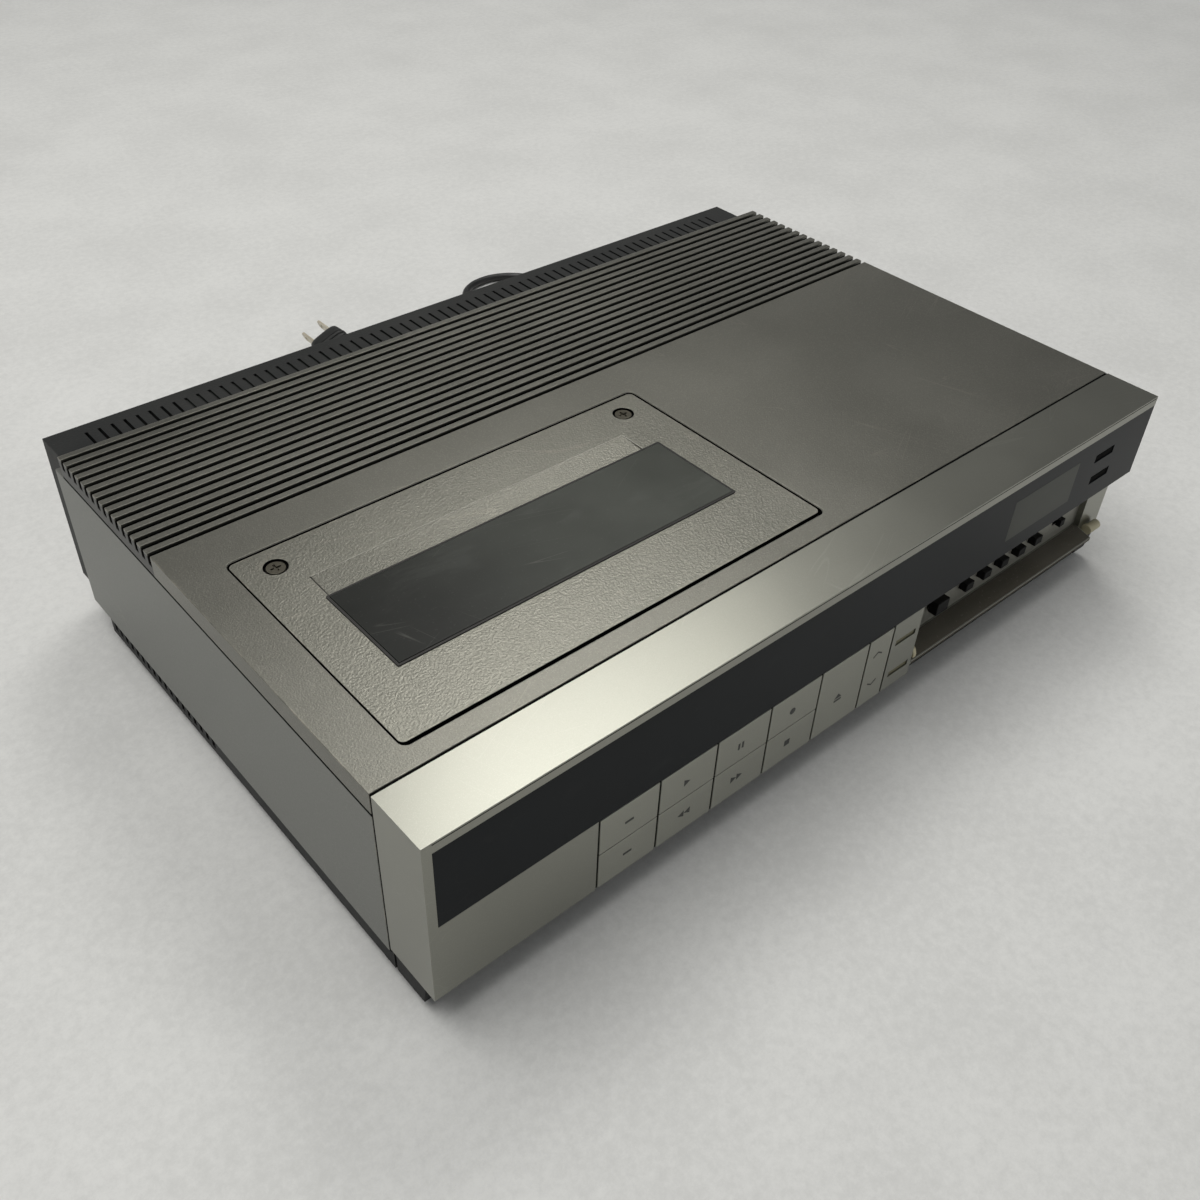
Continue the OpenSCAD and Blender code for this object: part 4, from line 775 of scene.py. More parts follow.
class Finishes:
    """Every finish of the recorder, and that of the floor."""

    # Painted shade: near black in the grooves between the ribs of the top cover, fading out at the ribs'
    # tops.
    painted_groove_shade = Shade((-0.216, 0.0338, 0.09), (0.216, 0.1225, 0.1016), 0.9, 0.9, 0.0014)
    # Painted shade on the sloping ramp behind the lid's window, strongest at its left end, against the light
    # that its slope catches.
    ramp = Shade((-0.17315, -0.0291, 0.1), (-0.01215, -0.014, 0.1016), 0.4, 0.02)
    # Painted shade: darkens the left end of the lid's window, fading out past its middle.
    painted_window_shade = Shade((-0.175, -0.08, 0.09), (-0.06, -0.02, 0.11), 0.8, 0.0)
    bronze_top = SpeckledLacquer(
        "bronze_top", (116, 115, 107), 0.36, fleck_size=0.0006, fleck=0.16, metallic=0.82, grain=0.25,
        shade=painted_groove_shade)
    bronze_lid = SpeckledLacquer(
        "bronze_lid", (123, 122, 113), 0.36, fleck=0.2, metallic=0.82, grain=0.5, grain_size=0.0009,
        shade=ramp)
    bronze_side = SpeckledLacquer(
        "bronze_side", (126, 127, 122), 0.44, fleck_size=0.0005, fleck=0.1, metallic=0.6, grain=0.15)
    silver = SpeckledLacquer(
        "silver", (145, 145, 136), 0.31, fleck_size=0.0003, fleck=0.06, metallic=0.9, grain=0.04, dust=0.15,
        edges=EdgeWear(0.0005, 0.25, SILVER_WORN))
    silver_key = SpeckledLacquer(
        "silver_key", (152, 152, 142), 0.38, fleck_size=0.0003, fleck=0.06, metallic=0.7, grain=0.04,
        dust=0.1, edges=EdgeWear(0.0004, 0.3, SILVER_WORN))
    recess = SpeckledLacquer(
        "recess", (140, 139, 131), 0.42, fleck_size=0.0003, fleck=0.06, metallic=0.6, grain=0.04)
    black = MouldedPlastic("black", (19, 20, 21), 0.55, dust=0.15, specular=0.25)
    charcoal = MouldedPlastic(
        "charcoal", (33, 34, 33), 0.55, grain=0.3, dust=0.12, specular=0.22,
        edges=EdgeWear(0.0006, 0.55, (60, 60, 58)))
    olive = MouldedPlastic("olive", (96, 92, 66), 0.45)
    ivory = MouldedPlastic("ivory", (180, 172, 142), 0.4, grain=0.1)
    black_key = MouldedPlastic("black_key", (13, 13, 13), 0.5, grain=0.1, dust=0.15, specular=0.12)
    reel = MouldedPlastic("reel", (38, 38, 40), 0.4)
    # Dark olive of the recess ledge: partly its own colour, partly painted shade of the recess.
    ledge = MouldedPlastic("ledge", (72, 68, 58), 0.6, grain=0.15, dust=0.5, specular=0.2)
    # Near black of painted shade, for the strips and linings put in seams, grooves, gaps and screw cups.
    shadow_black = MouldedPlastic("shadow_black", (9, 9, 8), 0.8, dust=0.04, specular=0.04)
    # Painted shade: dark brown for the band that stands for the dark gap around the lid's window.
    window_gap_shade = MouldedPlastic("window_gap_shade", (22, 20, 16), 0.6, dust=0.15)
    # Painted shade: dark strip in the corner at the left end of the ramp behind the lid's window.
    crease_shade = MouldedPlastic("crease_shade", (44, 43, 39), 0.7, dust=0.1, specular=0.1)
    # Painted highlight: pale strips along edges that catch the light, at the lid's opening, at the ramp
    # behind the window and at the front of the recess ledge.
    rubbed = MouldedPlastic("rubbed", (158, 156, 147), 0.5, grain=0.05, specular=0.3)
    insulator = MouldedPlastic("insulator", (28, 28, 28), 0.35, grain=0.05)
    band = GlossAcrylic(
        "band", (15, 19, 22), 0.3, smear=0.12, scratch=0.15, scratch_colour=(80, 80, 78), specular=0.09)
    window = GlossAcrylic(
        "window", (66, 68, 63), 0.3, smear=0.3, scratch_colour=(112, 112, 106), specular=0.12,
        shade=painted_window_shade)
    clock = GlossAcrylic("clock", (58, 60, 53), 0.3, smear=0.1, scratch=0.1, specular=0.12)
    zinc = SheetMetal("zinc", (176, 176, 172), 0.38, spangle=0.35)
    aluminium = SheetMetal("aluminium", (190, 191, 192), 0.24, lay=(0.02, 0.02, 1.0))
    tin = SheetMetal("tin", (184, 184, 180), 0.32, lay=(0.05, 1.0, 1.0))
    terminal = SheetMetal("terminal", (168, 168, 164), 0.34, lay=(0.05, 1.0, 1.0))
    dark_metal = SheetMetal("dark_metal", (74, 74, 76), 0.45)
    screw = SheetMetal("screw", (88, 85, 76), 0.42, tarnish=(58, 54, 44))
    nickel = SheetMetal("nickel", (214, 207, 188), 0.3, grain=0.05, metallic=0.4, tarnish=(150, 138, 112))
    rubber = RubberJacket("rubber", (24, 24, 25), 0.6)
    jacket = RubberJacket("jacket", (18, 18, 18), 0.45, bloom=0.08, dust=0.06)
    plug = RubberJacket("plug", (20, 21, 19), 0.5, bloom=0.06, dust=0.05)
    roller = RubberJacket("roller", (22, 22, 22), 0.7)
    board = PrintedBoard("board", (34, 82, 50), 0.4)
    ink = PrintInk("ink", (38, 38, 36), 0.5)
    floor = PaleFloor("floor", (209, 209, 206), 0.75)


# Making pieces


class Workshop:
    """Makes mesh objects and puts them on their bodies."""

    merge_within: float = 2e-6
    flat_angle: float = 0.02
    sharp_angle: float = 0.6

    def __init__(self, frame: Mapping[str, object]) -> None:
        """Keeps the loaded frame's nodes."""
        self.nodes: dict[str, bpy.types.Object] = frame["nodes"]

    @staticmethod
    def mesh(name: str, bm: bmesh.types.BMesh, smooth: bool = False) -> bpy.types.Mesh:
        """Mesh of a finished bmesh, its faces turned to point outwards.

        Args:
            name: Name of the mesh.
            bm: The bmesh, which is freed.
            smooth: Whether its faces are shaded smooth.

        Returns:
            The mesh.
        """
        bmesh.ops.remove_doubles(bm, verts=bm.verts, dist=1e-7)
        bmesh.ops.recalc_face_normals(bm, faces=bm.faces)
        for face in bm.faces:
            face.smooth = smooth
        made = bpy.data.meshes.new(name)
        bm.to_mesh(made)
        bm.free()
        return made

    def piece(
        self, name: str, mesh: bpy.types.Mesh | bpy.types.Curve, finish: Finish, body: str, slot: str
    ) -> bpy.types.Object:
        """Puts a finished mesh on a body.

        Args:
            name: Name of the piece.
            mesh: Its mesh or curve, in the model's metres.
            finish: Its finish.
            body: The body that it rides on.
            slot: Name of the record's material slot. It is not used.

        Returns:
            The object.
        """
        made = bpy.data.objects.new(name, mesh)
        mesh.name = name
        mesh.materials.clear()
        mesh.materials.append(finish.build())
        bpy.context.scene.collection.objects.link(made)
        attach(made, body)
        LOG.info("piece %s rides on %s", name, body)
        return made

    def shape(
        self, name: str, bm: bmesh.types.BMesh, finish: Finish, body: str, slot: str, smooth: bool = False
    ) -> bpy.types.Object:
        """Puts a finished bmesh on a body. See Workshop.mesh and Workshop.piece."""
        return self.piece(name, self.mesh(name, bm, smooth), finish, body, slot)

    def soften(self, piece: bpy.types.Object, width: float, rounds: bool = False) -> None:
        """Rounds a piece's sharp edges with live modifiers.

        Args:
            piece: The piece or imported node.
            width: Width of the round, in millimetres.
            rounds: Whether the piece is turned rather than flat-sided.
        """
        weld = piece.modifiers.new("merge points", "WELD")
        weld.merge_threshold = self.merge_within
        flat = piece.modifiers.new("whole faces", "DECIMATE")
        flat.decimate_type = "DISSOLVE"
        flat.angle_limit = self.flat_angle
        bevel = piece.modifiers.new("soft edges", "BEVEL")
        bevel.width = width * MM
        bevel.segments = 2
        bevel.limit_method = "ANGLE"
        bevel.angle_limit = self.sharp_angle
        bevel.harden_normals = not rounds
        if rounds:
            weights = piece.modifiers.new("even shading", "WEIGHTED_NORMAL")
            weights.keep_sharp = False
            weights.weight = 80

    def dress(
        self, name: str, finish: Finish, edge: float, rub: bool = False, rounds: bool = False
    ) -> None:
        """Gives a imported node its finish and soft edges.

        Args:
            name: Name of the node.
            finish: Its finish.
            edge: Width of its soft edges, in millimetres.
            rub: Whether its outer edges are rubbed.
            rounds: Whether it is turned rather than flat-sided.
        """
        node = self.nodes[name]
        suffix, box = "", None
        if rub:
            low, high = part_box(name)
            suffix, box = "_" + name, Box(tuple((low + high) / 2), tuple((high - low) / 2))
        material = finish.build(suffix, box)
        for slot in node.material_slots:
            slot.material = material
        self.soften(node, edge, rounds)
        LOG.info("node %s dressed as %s", name, finish.name)


def even_angles(sides: int) -> list[float]:
    """Angles of the corners of a regular outline."""
    return [2 * math.pi * k / sides for k in range(sides)]


def circle(radius: float, sides: int, z: float) -> list[Vector]:
    """Corners of a regular outline around the upright axis, at a height."""
    return [Vector((radius * math.cos(a), radius * math.sin(a), z)) for a in even_angles(sides)]


def rounded(box: Sides, grow: float, radius: float, z: float, step: int = 10) -> list[Vector]:
    """Level rectangle with round corners.

    Args:
        box: Left, right, front and back side that it is measured from, in case millimetres.
        grow: How far outside those sides it runs.
        radius: Radius of its corners.
        z: Its height.
        step: Degrees from one point of a corner to the next.

    Returns:
        Its points in the model's metres, anticlockwise from the right side at the back.
    """
    left, right, front, back = box
    corners = ((right, back, 1, 1, 0), (left, back, -1, 1, 90),
               (left, front, -1, -1, 180), (right, front, 1, -1, 270))
    points: list[Vector] = []
    for x, y, across, along, first in corners:
        for degrees in range(first, first + 91, step):
            angle = math.radians(degrees)
            points.append(CASE.at(x + across * (grow - radius) + radius * math.cos(angle),
                                  y + along * (grow - radius) + radius * math.sin(angle), z))
    return points


def skin(bm: bmesh.types.BMesh, loops: Sequence[Sequence[bmesh.types.BMVert]]) -> None:
    """Joins each loop of points to the next one.

    Args:
        bm: The bmesh that they are in.
        loops: Loops with the same number of points.
    """
    for one, two in zip(loops, loops[1:]):
        for k in range(len(one)):
            n = (k + 1) % len(one)
            bm.faces.new((one[k], one[n], two[n], two[k]))


def band(bm: bmesh.types.BMesh, rows: Iterable[Iterable[Vector]]) -> None:
    """Adds a closed band, which has one row of points for each corner of its section.

    Args:
        bm: The bmesh that it goes into.
        rows: The points of each row, in order around the section.
    """
    loops = [[bm.verts.new(p) for p in row] for row in rows]
    skin(bm, loops + loops[:1])


def prism(bm: bmesh.types.BMesh, outline: Sequence[Vector], depth: Vector) -> None:
    """Adds a closed prism.

    Args:
        bm: The bmesh that it goes into.
        outline: Corners of one end.
        depth: From that end to the other.
    """
    near = [bm.verts.new(p) for p in outline]
    far = [bm.verts.new(p + depth) for p in outline]
    bm.faces.new(near)
    bm.faces.new(far[::-1])
    skin(bm, [far, near])


def slab(bm: bmesh.types.BMesh, x: Pair, y: Pair, z: Pair) -> None:
    """Adds a box, in case millimetres.

    Args:
        bm: The bmesh that it goes into.
        x: Its left and right side.
        y: Its front and back.
        z: Its bottom and top.
    """
    corners = ((x[0], y[0]), (x[1], y[0]), (x[1], y[1]), (x[0], y[1]))
    prism(bm, [CASE.at(*corner, z[0]) for corner in corners], Vector((0, 0, (z[1] - z[0]) * MM)))


def lathe(bm: bmesh.types.BMesh, profile: Sequence[Pair], start: Vector, axis: Vector, sides: int) -> None:
    """Adds a closed turned shape.

    Args:
        bm: The bmesh that it goes into.
        profile: Radius and distance along the axis, in millimetres. Its first and last radius are 0.
        start: Where the distance is 0.
        axis: Direction of the axis.
        sides: Number of sides.
    """
    along = axis.normalized()
    side = along.orthogonal().normalized()
    up = along.cross(side)
    rings: list[list[bmesh.types.BMVert]] = []
    for radius, distance in profile:
        centre = start + along * (distance * MM)
        if radius:
            spokes = [math.cos(a) * side + math.sin(a) * up for a in even_angles(sides)]
            rings.append([bm.verts.new(centre + radius * MM * spoke) for spoke in spokes])
        else:
            rings.append([bm.verts.new(centre)])
    for one, two in zip(rings, rings[1:]):
        for k in range(sides):
            n = (k + 1) % sides
            corners = [one[k % len(one)], one[n % len(one)], two[n % len(two)], two[k % len(two)]]
            unique = list(dict.fromkeys(corners))
            if len(unique) > 2:
                bm.faces.new(unique)


# Geometry trees for what repeats


class RepeatTrees:
    """Geometry node trees, each built once, and the bake that uses them."""

    def __init__(self) -> None:
        """Starts with no tree built."""
        self.trees: dict[str, bpy.types.NodeTree] = {}

    def _start(
        self, name: str, inputs: Mapping[str, tuple[str, object]]
    ) -> tuple[Graph, bpy.types.NodeOutputs]:
        """A new tree with named inputs.

        Args:
            name: Name of the tree.
            inputs: Kind and usual value of each input.

        Returns:
            The graph and what the tree is given.
        """
        tree = bpy.data.node_groups.new(name, "GeometryNodeTree")
        tree.interface.new_socket("Geometry", in_out="INPUT", socket_type="NodeSocketGeometry")
        for label, (kind, value) in inputs.items():
            made = tree.interface.new_socket(label, in_out="INPUT", socket_type="NodeSocket" + kind)
            if value is not None:
                made.default_value = value
        tree.interface.new_socket("Geometry", in_out="OUTPUT", socket_type="NodeSocketGeometry")
        self.trees[name] = tree
        graph = Graph(tree)
        return graph, graph.add("NodeGroupInput").outputs

    @staticmethod
    def _end(graph: Graph, instances: Socket, material: Socket) -> None:
        """Realizes the instances and sets their material.

        Args:
            graph: The tree's graph.
            instances: The instances.
            material: The material input.
        """
        real = graph.add("GeometryNodeRealizeInstances", {"Geometry": instances})
        dressed = graph.add("GeometryNodeSetMaterial", {"Geometry": real.outputs[0], "Material": material})
        graph.add("NodeGroupOutput", {"Geometry": dressed.outputs[0]})

    def copies_on_points(self) -> None:
        """Builds the tree that puts a part on each point, with a random turn."""
        graph, given = self._start("copies_on_points", {
            "Part": ("Object", None), "Tilt": ("Vector", (0.0, 0.0, 0.0)), "Turn": ("Float", 0.0),
            "Seed": ("Int", 1), "Finish": ("Material", None)})
        source = {"Object": given["Part"]}
        part = graph.add("GeometryNodeObjectInfo", source, transform_space="ORIGINAL").outputs["Geometry"]
        turn = {"Seed": given["Seed"], 3: given["Turn"]}
        spin = graph.add("FunctionNodeRandomValue", turn, data_type="FLOAT").outputs[1]
        local = graph.add("ShaderNodeCombineXYZ", {2: spin}).outputs[0]
        both = {"Rotation": local, "Rotate By": given["Tilt"]}
        turned = graph.add("FunctionNodeRotateEuler", both, space="OBJECT").outputs[0]
        places = {"Points": given["Geometry"], "Instance": part, "Rotation": turned}
        self._end(graph, graph.add("GeometryNodeInstanceOnPoints", places).outputs[0], given["Finish"])

    def rings_along_line(self) -> None:
        """Builds the tree that puts rings of round wire along a line."""
        graph, given = self._start("rings_along_line", {
            "Start": ("Vector", (0.0, 0.0, 0.0)), "Step": ("Vector", (0.0, 0.001, 0.0)), "Count": ("Int", 5),
            "Radius": ("Float", 0.004), "Wire": ("Float", 0.0004), "Finish": ("Material", None)})
        row = {"Count": given["Count"], "Start Location": given["Start"], "Offset": given["Step"]}
        line = graph.add("GeometryNodeMeshLine", row, mode="OFFSET").outputs[0]
        unit = graph.add("GeometryNodeCurvePrimitiveCircle", {"Resolution": 32, "Radius": 1.0}).outputs[0]
        aim = graph.add("FunctionNodeAlignEulerToVector", {"Vector": given["Step"]}, axis="Z").outputs[0]
        places = {"Points": line, "Instance": unit, "Rotation": aim, "Scale": given["Radius"]}
        copies = graph.add("GeometryNodeInstanceOnPoints", places).outputs[0]
        loose = graph.add("GeometryNodeRealizeInstances", {"Geometry": copies}).outputs[0]
        section = {"Resolution": 8, "Radius": given["Wire"]}
        wire = graph.add("GeometryNodeCurvePrimitiveCircle", section).outputs[0]
        tube = graph.add("GeometryNodeCurveToMesh", {"Curve": loose, "Profile Curve": wire}).outputs[0]
        self._end(graph, tube, given["Finish"])

    def bake(self, name: str, inputs: Mapping[str, object], points: Sequence[Vector] = ()) -> bpy.types.Mesh:
        """Runs a tree once and keeps its plain mesh.

        Args:
            name: Name of the tree, which is also the method that builds it.
            inputs: A value for each named input.
            points: Points that the tree starts from.

        Returns:
            The mesh.
        """
        if name not in self.trees:
            getattr(self, name)()
        tree = self.trees[name]
        base = bpy.data.meshes.new("points")
        base.from_pydata([tuple(p) for p in points], [], [])
        holder = bpy.data.objects.new("repeat_work", base)
        bpy.context.scene.collection.objects.link(holder)
        modifier = holder.modifiers.new("repeat", "NODES")
        modifier.node_group = tree
        for item in tree.interface.items_tree:
            if item.item_type == "SOCKET" and item.in_out == "INPUT" and item.name in inputs:
                modifier[item.identifier] = inputs[item.name]
        graph = bpy.context.evaluated_depsgraph_get()
        made = bpy.data.meshes.new_from_object(holder.evaluated_get(graph))
        holder.modifiers.remove(modifier)
        bpy.data.objects.remove(holder)
        return made

    def copies(
        self, part: bpy.types.Mesh, points: Sequence[Vector], finish: Finish,
        tilt: Point = (0.0, 0.0, 0.0), turn: float = 0.0, seed: int = 1
    ) -> bpy.types.Mesh:
        """One mesh with a part on each point.

        Args:
            part: The part's mesh, around its own origin.
            points: Where the copies go.
            finish: Their finish.
            tilt: Turn that every copy has.
            turn: Most that a copy is turned about its own axis.
            seed: Seed of the random turns.

        Returns:
            The mesh.
        """
        source = bpy.data.objects.new("repeat_part", part)
        inputs = {"Part": source, "Tilt": tilt, "Turn": turn, "Seed": seed, "Finish": finish.build()}
        made = self.bake("copies_on_points", inputs, points)
        bpy.data.objects.remove(source)
        return made

    def rings(
        self, start: Vector, step: Vector, count: int, radius: float, wire: float, finish: Finish
    ) -> bpy.types.Mesh:
        """One mesh with rings along a line, in metres.

        Args:
            start: Middle of the first ring.
            step: From one ring to the next.
            count: Number of rings.
            radius: Radius of the rings.
            wire: Radius of a ring's own section.
            finish: Their finish.

        Returns:
            The mesh.
        """
        inputs = {"Start": tuple(start), "Step": tuple(step), "Count": count, "Radius": radius, "Wire": wire,
                  "Finish": finish.build()}
        return self.bake("rings_along_line", inputs)


REPEATS = RepeatTrees()


class Facing(Enum):
    """Way that a screw's head points, as the turn that brings it there."""

    DOWN = (math.pi, 0.0, 0.0)
    BACK = (-math.pi / 2, 0.0, 0.0)


@dataclass(frozen=True)
class CrossScrew:
    """A pan-head screw with a cross recess, around its own seat, in millimetres.

    The cross has its reach and half its width as shares of the head's radius, and its depth as a share of the
    head's height. The crown is measured from the head's radius and height, and its foot is a share of the
    height.
    """

    head_radius: float
    head_height: float
    shank_radius: float
    shank_length: float
    sides: int = 28
    cross_reach: float = 0.56
    cross_half: float = 0.15
    cross_taper: float = 0.8
    cross_depth: float = 0.6
    cross_deepest: float = 0.9
    crown: tuple[Pair, ...] = ((-0.75, 0.0), (-0.3, -0.18))
    crown_foot: float = 0.45
    most_turn: float = 1.5

    def recess(self, share: float, z: float) -> list[Vector]:
        """Corners of the cross at one level.

        Args:
            share: Its size there, 1 for the full one.
            z: Its height above the seat.

        Returns:
            Its twelve corners, in millimetres.
        """
        arm = self.head_radius * self.cross_reach * share
        half = self.head_radius * self.cross_half * share
        quarter = ((half, half), (arm, half), (arm, -half))
        return [Vector((x * math.cos(a) - y * math.sin(a), x * math.sin(a) + y * math.cos(a), z))
                for a in (-math.pi / 2 * k for k in range(4)) for x, y in quarter]

    def mesh(self) -> bpy.types.Mesh:
        """The screw's mesh, its head upwards from 0.

        Returns:
            The mesh, in metres.
        """
        radius, top, shank = self.head_radius, self.head_height, self.shank_radius
        bottom = top - min(self.cross_deepest, top * self.cross_depth)
        profile = [(radius + grow, top + rise) for grow, rise in self.crown]
        profile += [(radius, top * self.crown_foot), (radius, 0.0), (shank, 0.0), (shank, -self.shank_length)]
        bm = bmesh.new()
        rings = [[bm.verts.new(p * MM) for p in circle(r, self.sides, z)] for r, z in profile]
        skin(bm, rings)
        bm.faces.new(rings[-1])
        rim = [bm.verts.new(p * MM) for p in self.recess(1.0, top)]
        low = [bm.verts.new(p * MM) for p in self.recess(self.cross_taper, bottom)]
        skin(bm, [rim, low])
        bm.faces.new(low)
        edges = [bm.edges.get(ends) for loop in (rings[0], rim) for ends in zip(loop, loop[1:] + loop[:1])]
        bmesh.ops.triangle_fill(bm, edges=edges, use_beauty=True, normal=(0, 0, 1))
        return Workshop.mesh("screw", bm)

    def place(
        self, shop: Workshop, name: str, points: Sequence[Vector], facing: Facing, seed: int
    ) -> bpy.types.Object:
        """Adds one piece with the screw on each point, each with its cross turned by chance.

        Args:
            shop: The workshop.
            name: Name of the piece.
            points: The screws' seats.
            facing: Way that the heads point.
            seed: Seed of the random turns.

        Returns:
            The piece.
        """
        mesh = REPEATS.copies(self.mesh(), points, Finishes.screw, facing.value, self.most_turn, seed)
        return shop.piece(name, mesh, Finishes.screw, "case", "screw_steel")


# Camera, lights and floor


@dataclass(frozen=True)
class SoftLight:
    """One soft lamp."""

    name: str
    place: Point
    aim: Point
    size: Pair
    power: float
    colour: Point

    def build(self) -> None:
        """Adds the lamp."""
        data = bpy.data.lights.new(self.name, "AREA")
        data.shape = "RECTANGLE"
        data.size, data.size_y = self.size
        data.energy = self.power
        data.color = self.colour
        lamp = bpy.data.objects.new(self.name, data)
        way = Vector(self.aim) - Vector(self.place)
        lamp.matrix_world = Matrix.Translation(self.place) @ way.to_track_quat("-Z", "Y").to_matrix().to_4x4()
        bpy.context.scene.collection.objects.link(lamp)


@dataclass
class Studio:
    """Camera, floor, lamps and world."""

    place: Point = (-0.33650, -0.35740, 0.40689)
    right: Point = (0.75527374, -0.65456085, 0.03334166)
    up: Point = (0.40655191, 0.50779305, 0.75951416)
    forward: Point = (0.5140789, 0.56008599, -0.64963572)
    lens: float = 37.125
    floor_size: float = 14.0
    floor_drop: float = 0.0001
    sky: Colour = (0.97, 0.985, 1.0, 1.0)
    lights: tuple[SoftLight, ...] = (
        SoftLight("key", (0.748, 0.831, 1.758), (0.0, -0.05, 0.0), (0.75, 0.75), 10.2, (1.0, 0.99, 0.96)),
        SoftLight("overhead", (-0.7, 0.25, 2.1), (-0.1, 0.0, 0.0), (1.7, 1.4), 31.0, (1.0, 0.99, 0.975)),
        SoftLight("front_fill", (1.2, -1.6, 1.3), (0.0, 0.0, 0.05), (1.2, 0.9), 5.0, (0.97, 0.985, 1.0)),
    )

    def camera(self) -> None:
        """Adds the camera at the photograph's place."""
        data = bpy.data.cameras.new("camera")
        data.lens = self.lens
        data.sensor_width = 36.0
        data.clip_start = 0.01
        eye = bpy.data.objects.new("camera", data)
        columns = [Vector(self.right), Vector(self.up), -Vector(self.forward)]
        turn = Matrix([[c[row] for c in columns] for row in range(3)]).to_4x4()
        eye.matrix_world = Matrix.Translation(self.place) @ turn
        bpy.context.scene.collection.objects.link(eye)
        bpy.context.scene.camera = eye

    def floor(self) -> None:
        """Adds the floor just under the feet."""
        bm = bmesh.new()
        half = self.floor_size / 2
        corners = ((-half, -half), (half, -half), (half, half), (-half, half))
        bm.faces.new([bm.verts.new(Vector((x, y, -self.floor_drop))) for x, y in corners])
        mesh = Workshop.mesh("floor", bm)
        plane = bpy.data.objects.new("floor", mesh)
        mesh.materials.append(Finishes.floor.build())
        bpy.context.scene.collection.objects.link(plane)

    def world(self) -> None:
        """Gives the world its soft light: pale at the horizon, dim above it, bright overhead."""
        world = bpy.data.worlds.new("studio")
        world.use_nodes = True
        world.node_tree.nodes.clear()
        graph = Graph(world.node_tree)
        way = graph.add("ShaderNodeTexCoord").outputs["Generated"]
        height = graph.add("ShaderNodeSeparateXYZ", {0: way}).outputs[2]
        low = graph.remap(height, 0.1, 0.34, 0.55, 0.06)
        high = graph.remap(height, 0.6, 0.98, 0.0, 0.4)
        back = graph.add("ShaderNodeBackground", {"Color": self.sky, "Strength": graph.plus(low, high)})
        graph.add("ShaderNodeOutputWorld", {"Surface": back.outputs[0]})
        bpy.context.scene.world = world

    def build(self) -> None:
        """Adds everything around the object."""
        self.camera()
        self.floor()
        self.world()
        for light in self.lights:
            light.build()
        bpy.context.scene.view_settings.view_transform = "Standard"
        LOG.info("studio is up")


# The mains lead


@dataclass(frozen=True)
class PlugBlade:
    """Flat blade with a hole near its tip. Lengths run along the plug from its cord end, in millimetres."""

    start: float = 27.0
    end: float = 46.0
    half: float = 3.15
    thick: float = 1.5
    hole: float = 41.0
    hole_radius: float = 1.55

    def corners(self) -> list[Pair]:
        """Corners of the blade's outline."""
        side = [(self.end - 2.2, self.half), (self.end - 0.8, self.half - 0.7), (self.end, self.half - 2.2)]
        near = [(self.start, -self.half), *((y, -z) for y, z in side)]
        return near + side[::-1] + [(self.start, self.half)]

    def reach(self, way: Pair, a: Pair, b: Pair) -> float | None:
        """Distance from the hole's middle to one side of the outline.

        Args:
            way: Unit direction from the middle.
            a: One end of the side.
            b: Its other end.

        Returns:
            The distance, or None where the direction misses the side.
        """
        side = (b[0] - a[0], b[1] - a[1])
        cross = way[0] * side[1] - way[1] * side[0]
        if abs(cross) < 1e-9:
            return None
        gap = (a[0] - self.hole, a[1])
        along = (gap[0] * side[1] - gap[1] * side[0]) / cross
        share = (gap[0] * way[1] - gap[1] * way[0]) / cross
        return along if along > 0 and -1e-6 <= share <= 1 + 1e-6 else None

    def add(self, bm: bmesh.types.BMesh, place: Matrix, x: float) -> None:
        """Adds the blade.

        Args:
            bm: The bmesh that it goes into.
            place: Turn and place of the plug.
            x: Middle of the blade across the plug.
        """
        corners = self.corners()
        angles = sorted({round(math.atan2(z, y - self.hole), 6) for y, z in corners}
                        | {round(a - math.pi + 0.1, 6) for a in even_angles(24)})
        edge: list[Pair] = []
        ring: list[Pair] = []
        for angle in angles:
            way = (math.cos(angle), math.sin(angle))
            found = [self.reach(way, a, b) for a, b in zip(corners, corners[1:] + corners[:1])]
            far = min(distance for distance in found if distance is not None)
            for line, distance in ((edge, far), (ring, self.hole_radius)):
                line.append((self.hole + way[0] * distance, way[1] * distance))
        loops = [[bm.verts.new(place @ (Vector((x + offset, y, z)) * MM)) for y, z in line]
                 for offset in (-self.thick / 2, self.thick / 2) for line in (edge, ring)]
        skin(bm, [loops[i] for i in (0, 1, 3, 2, 0)])


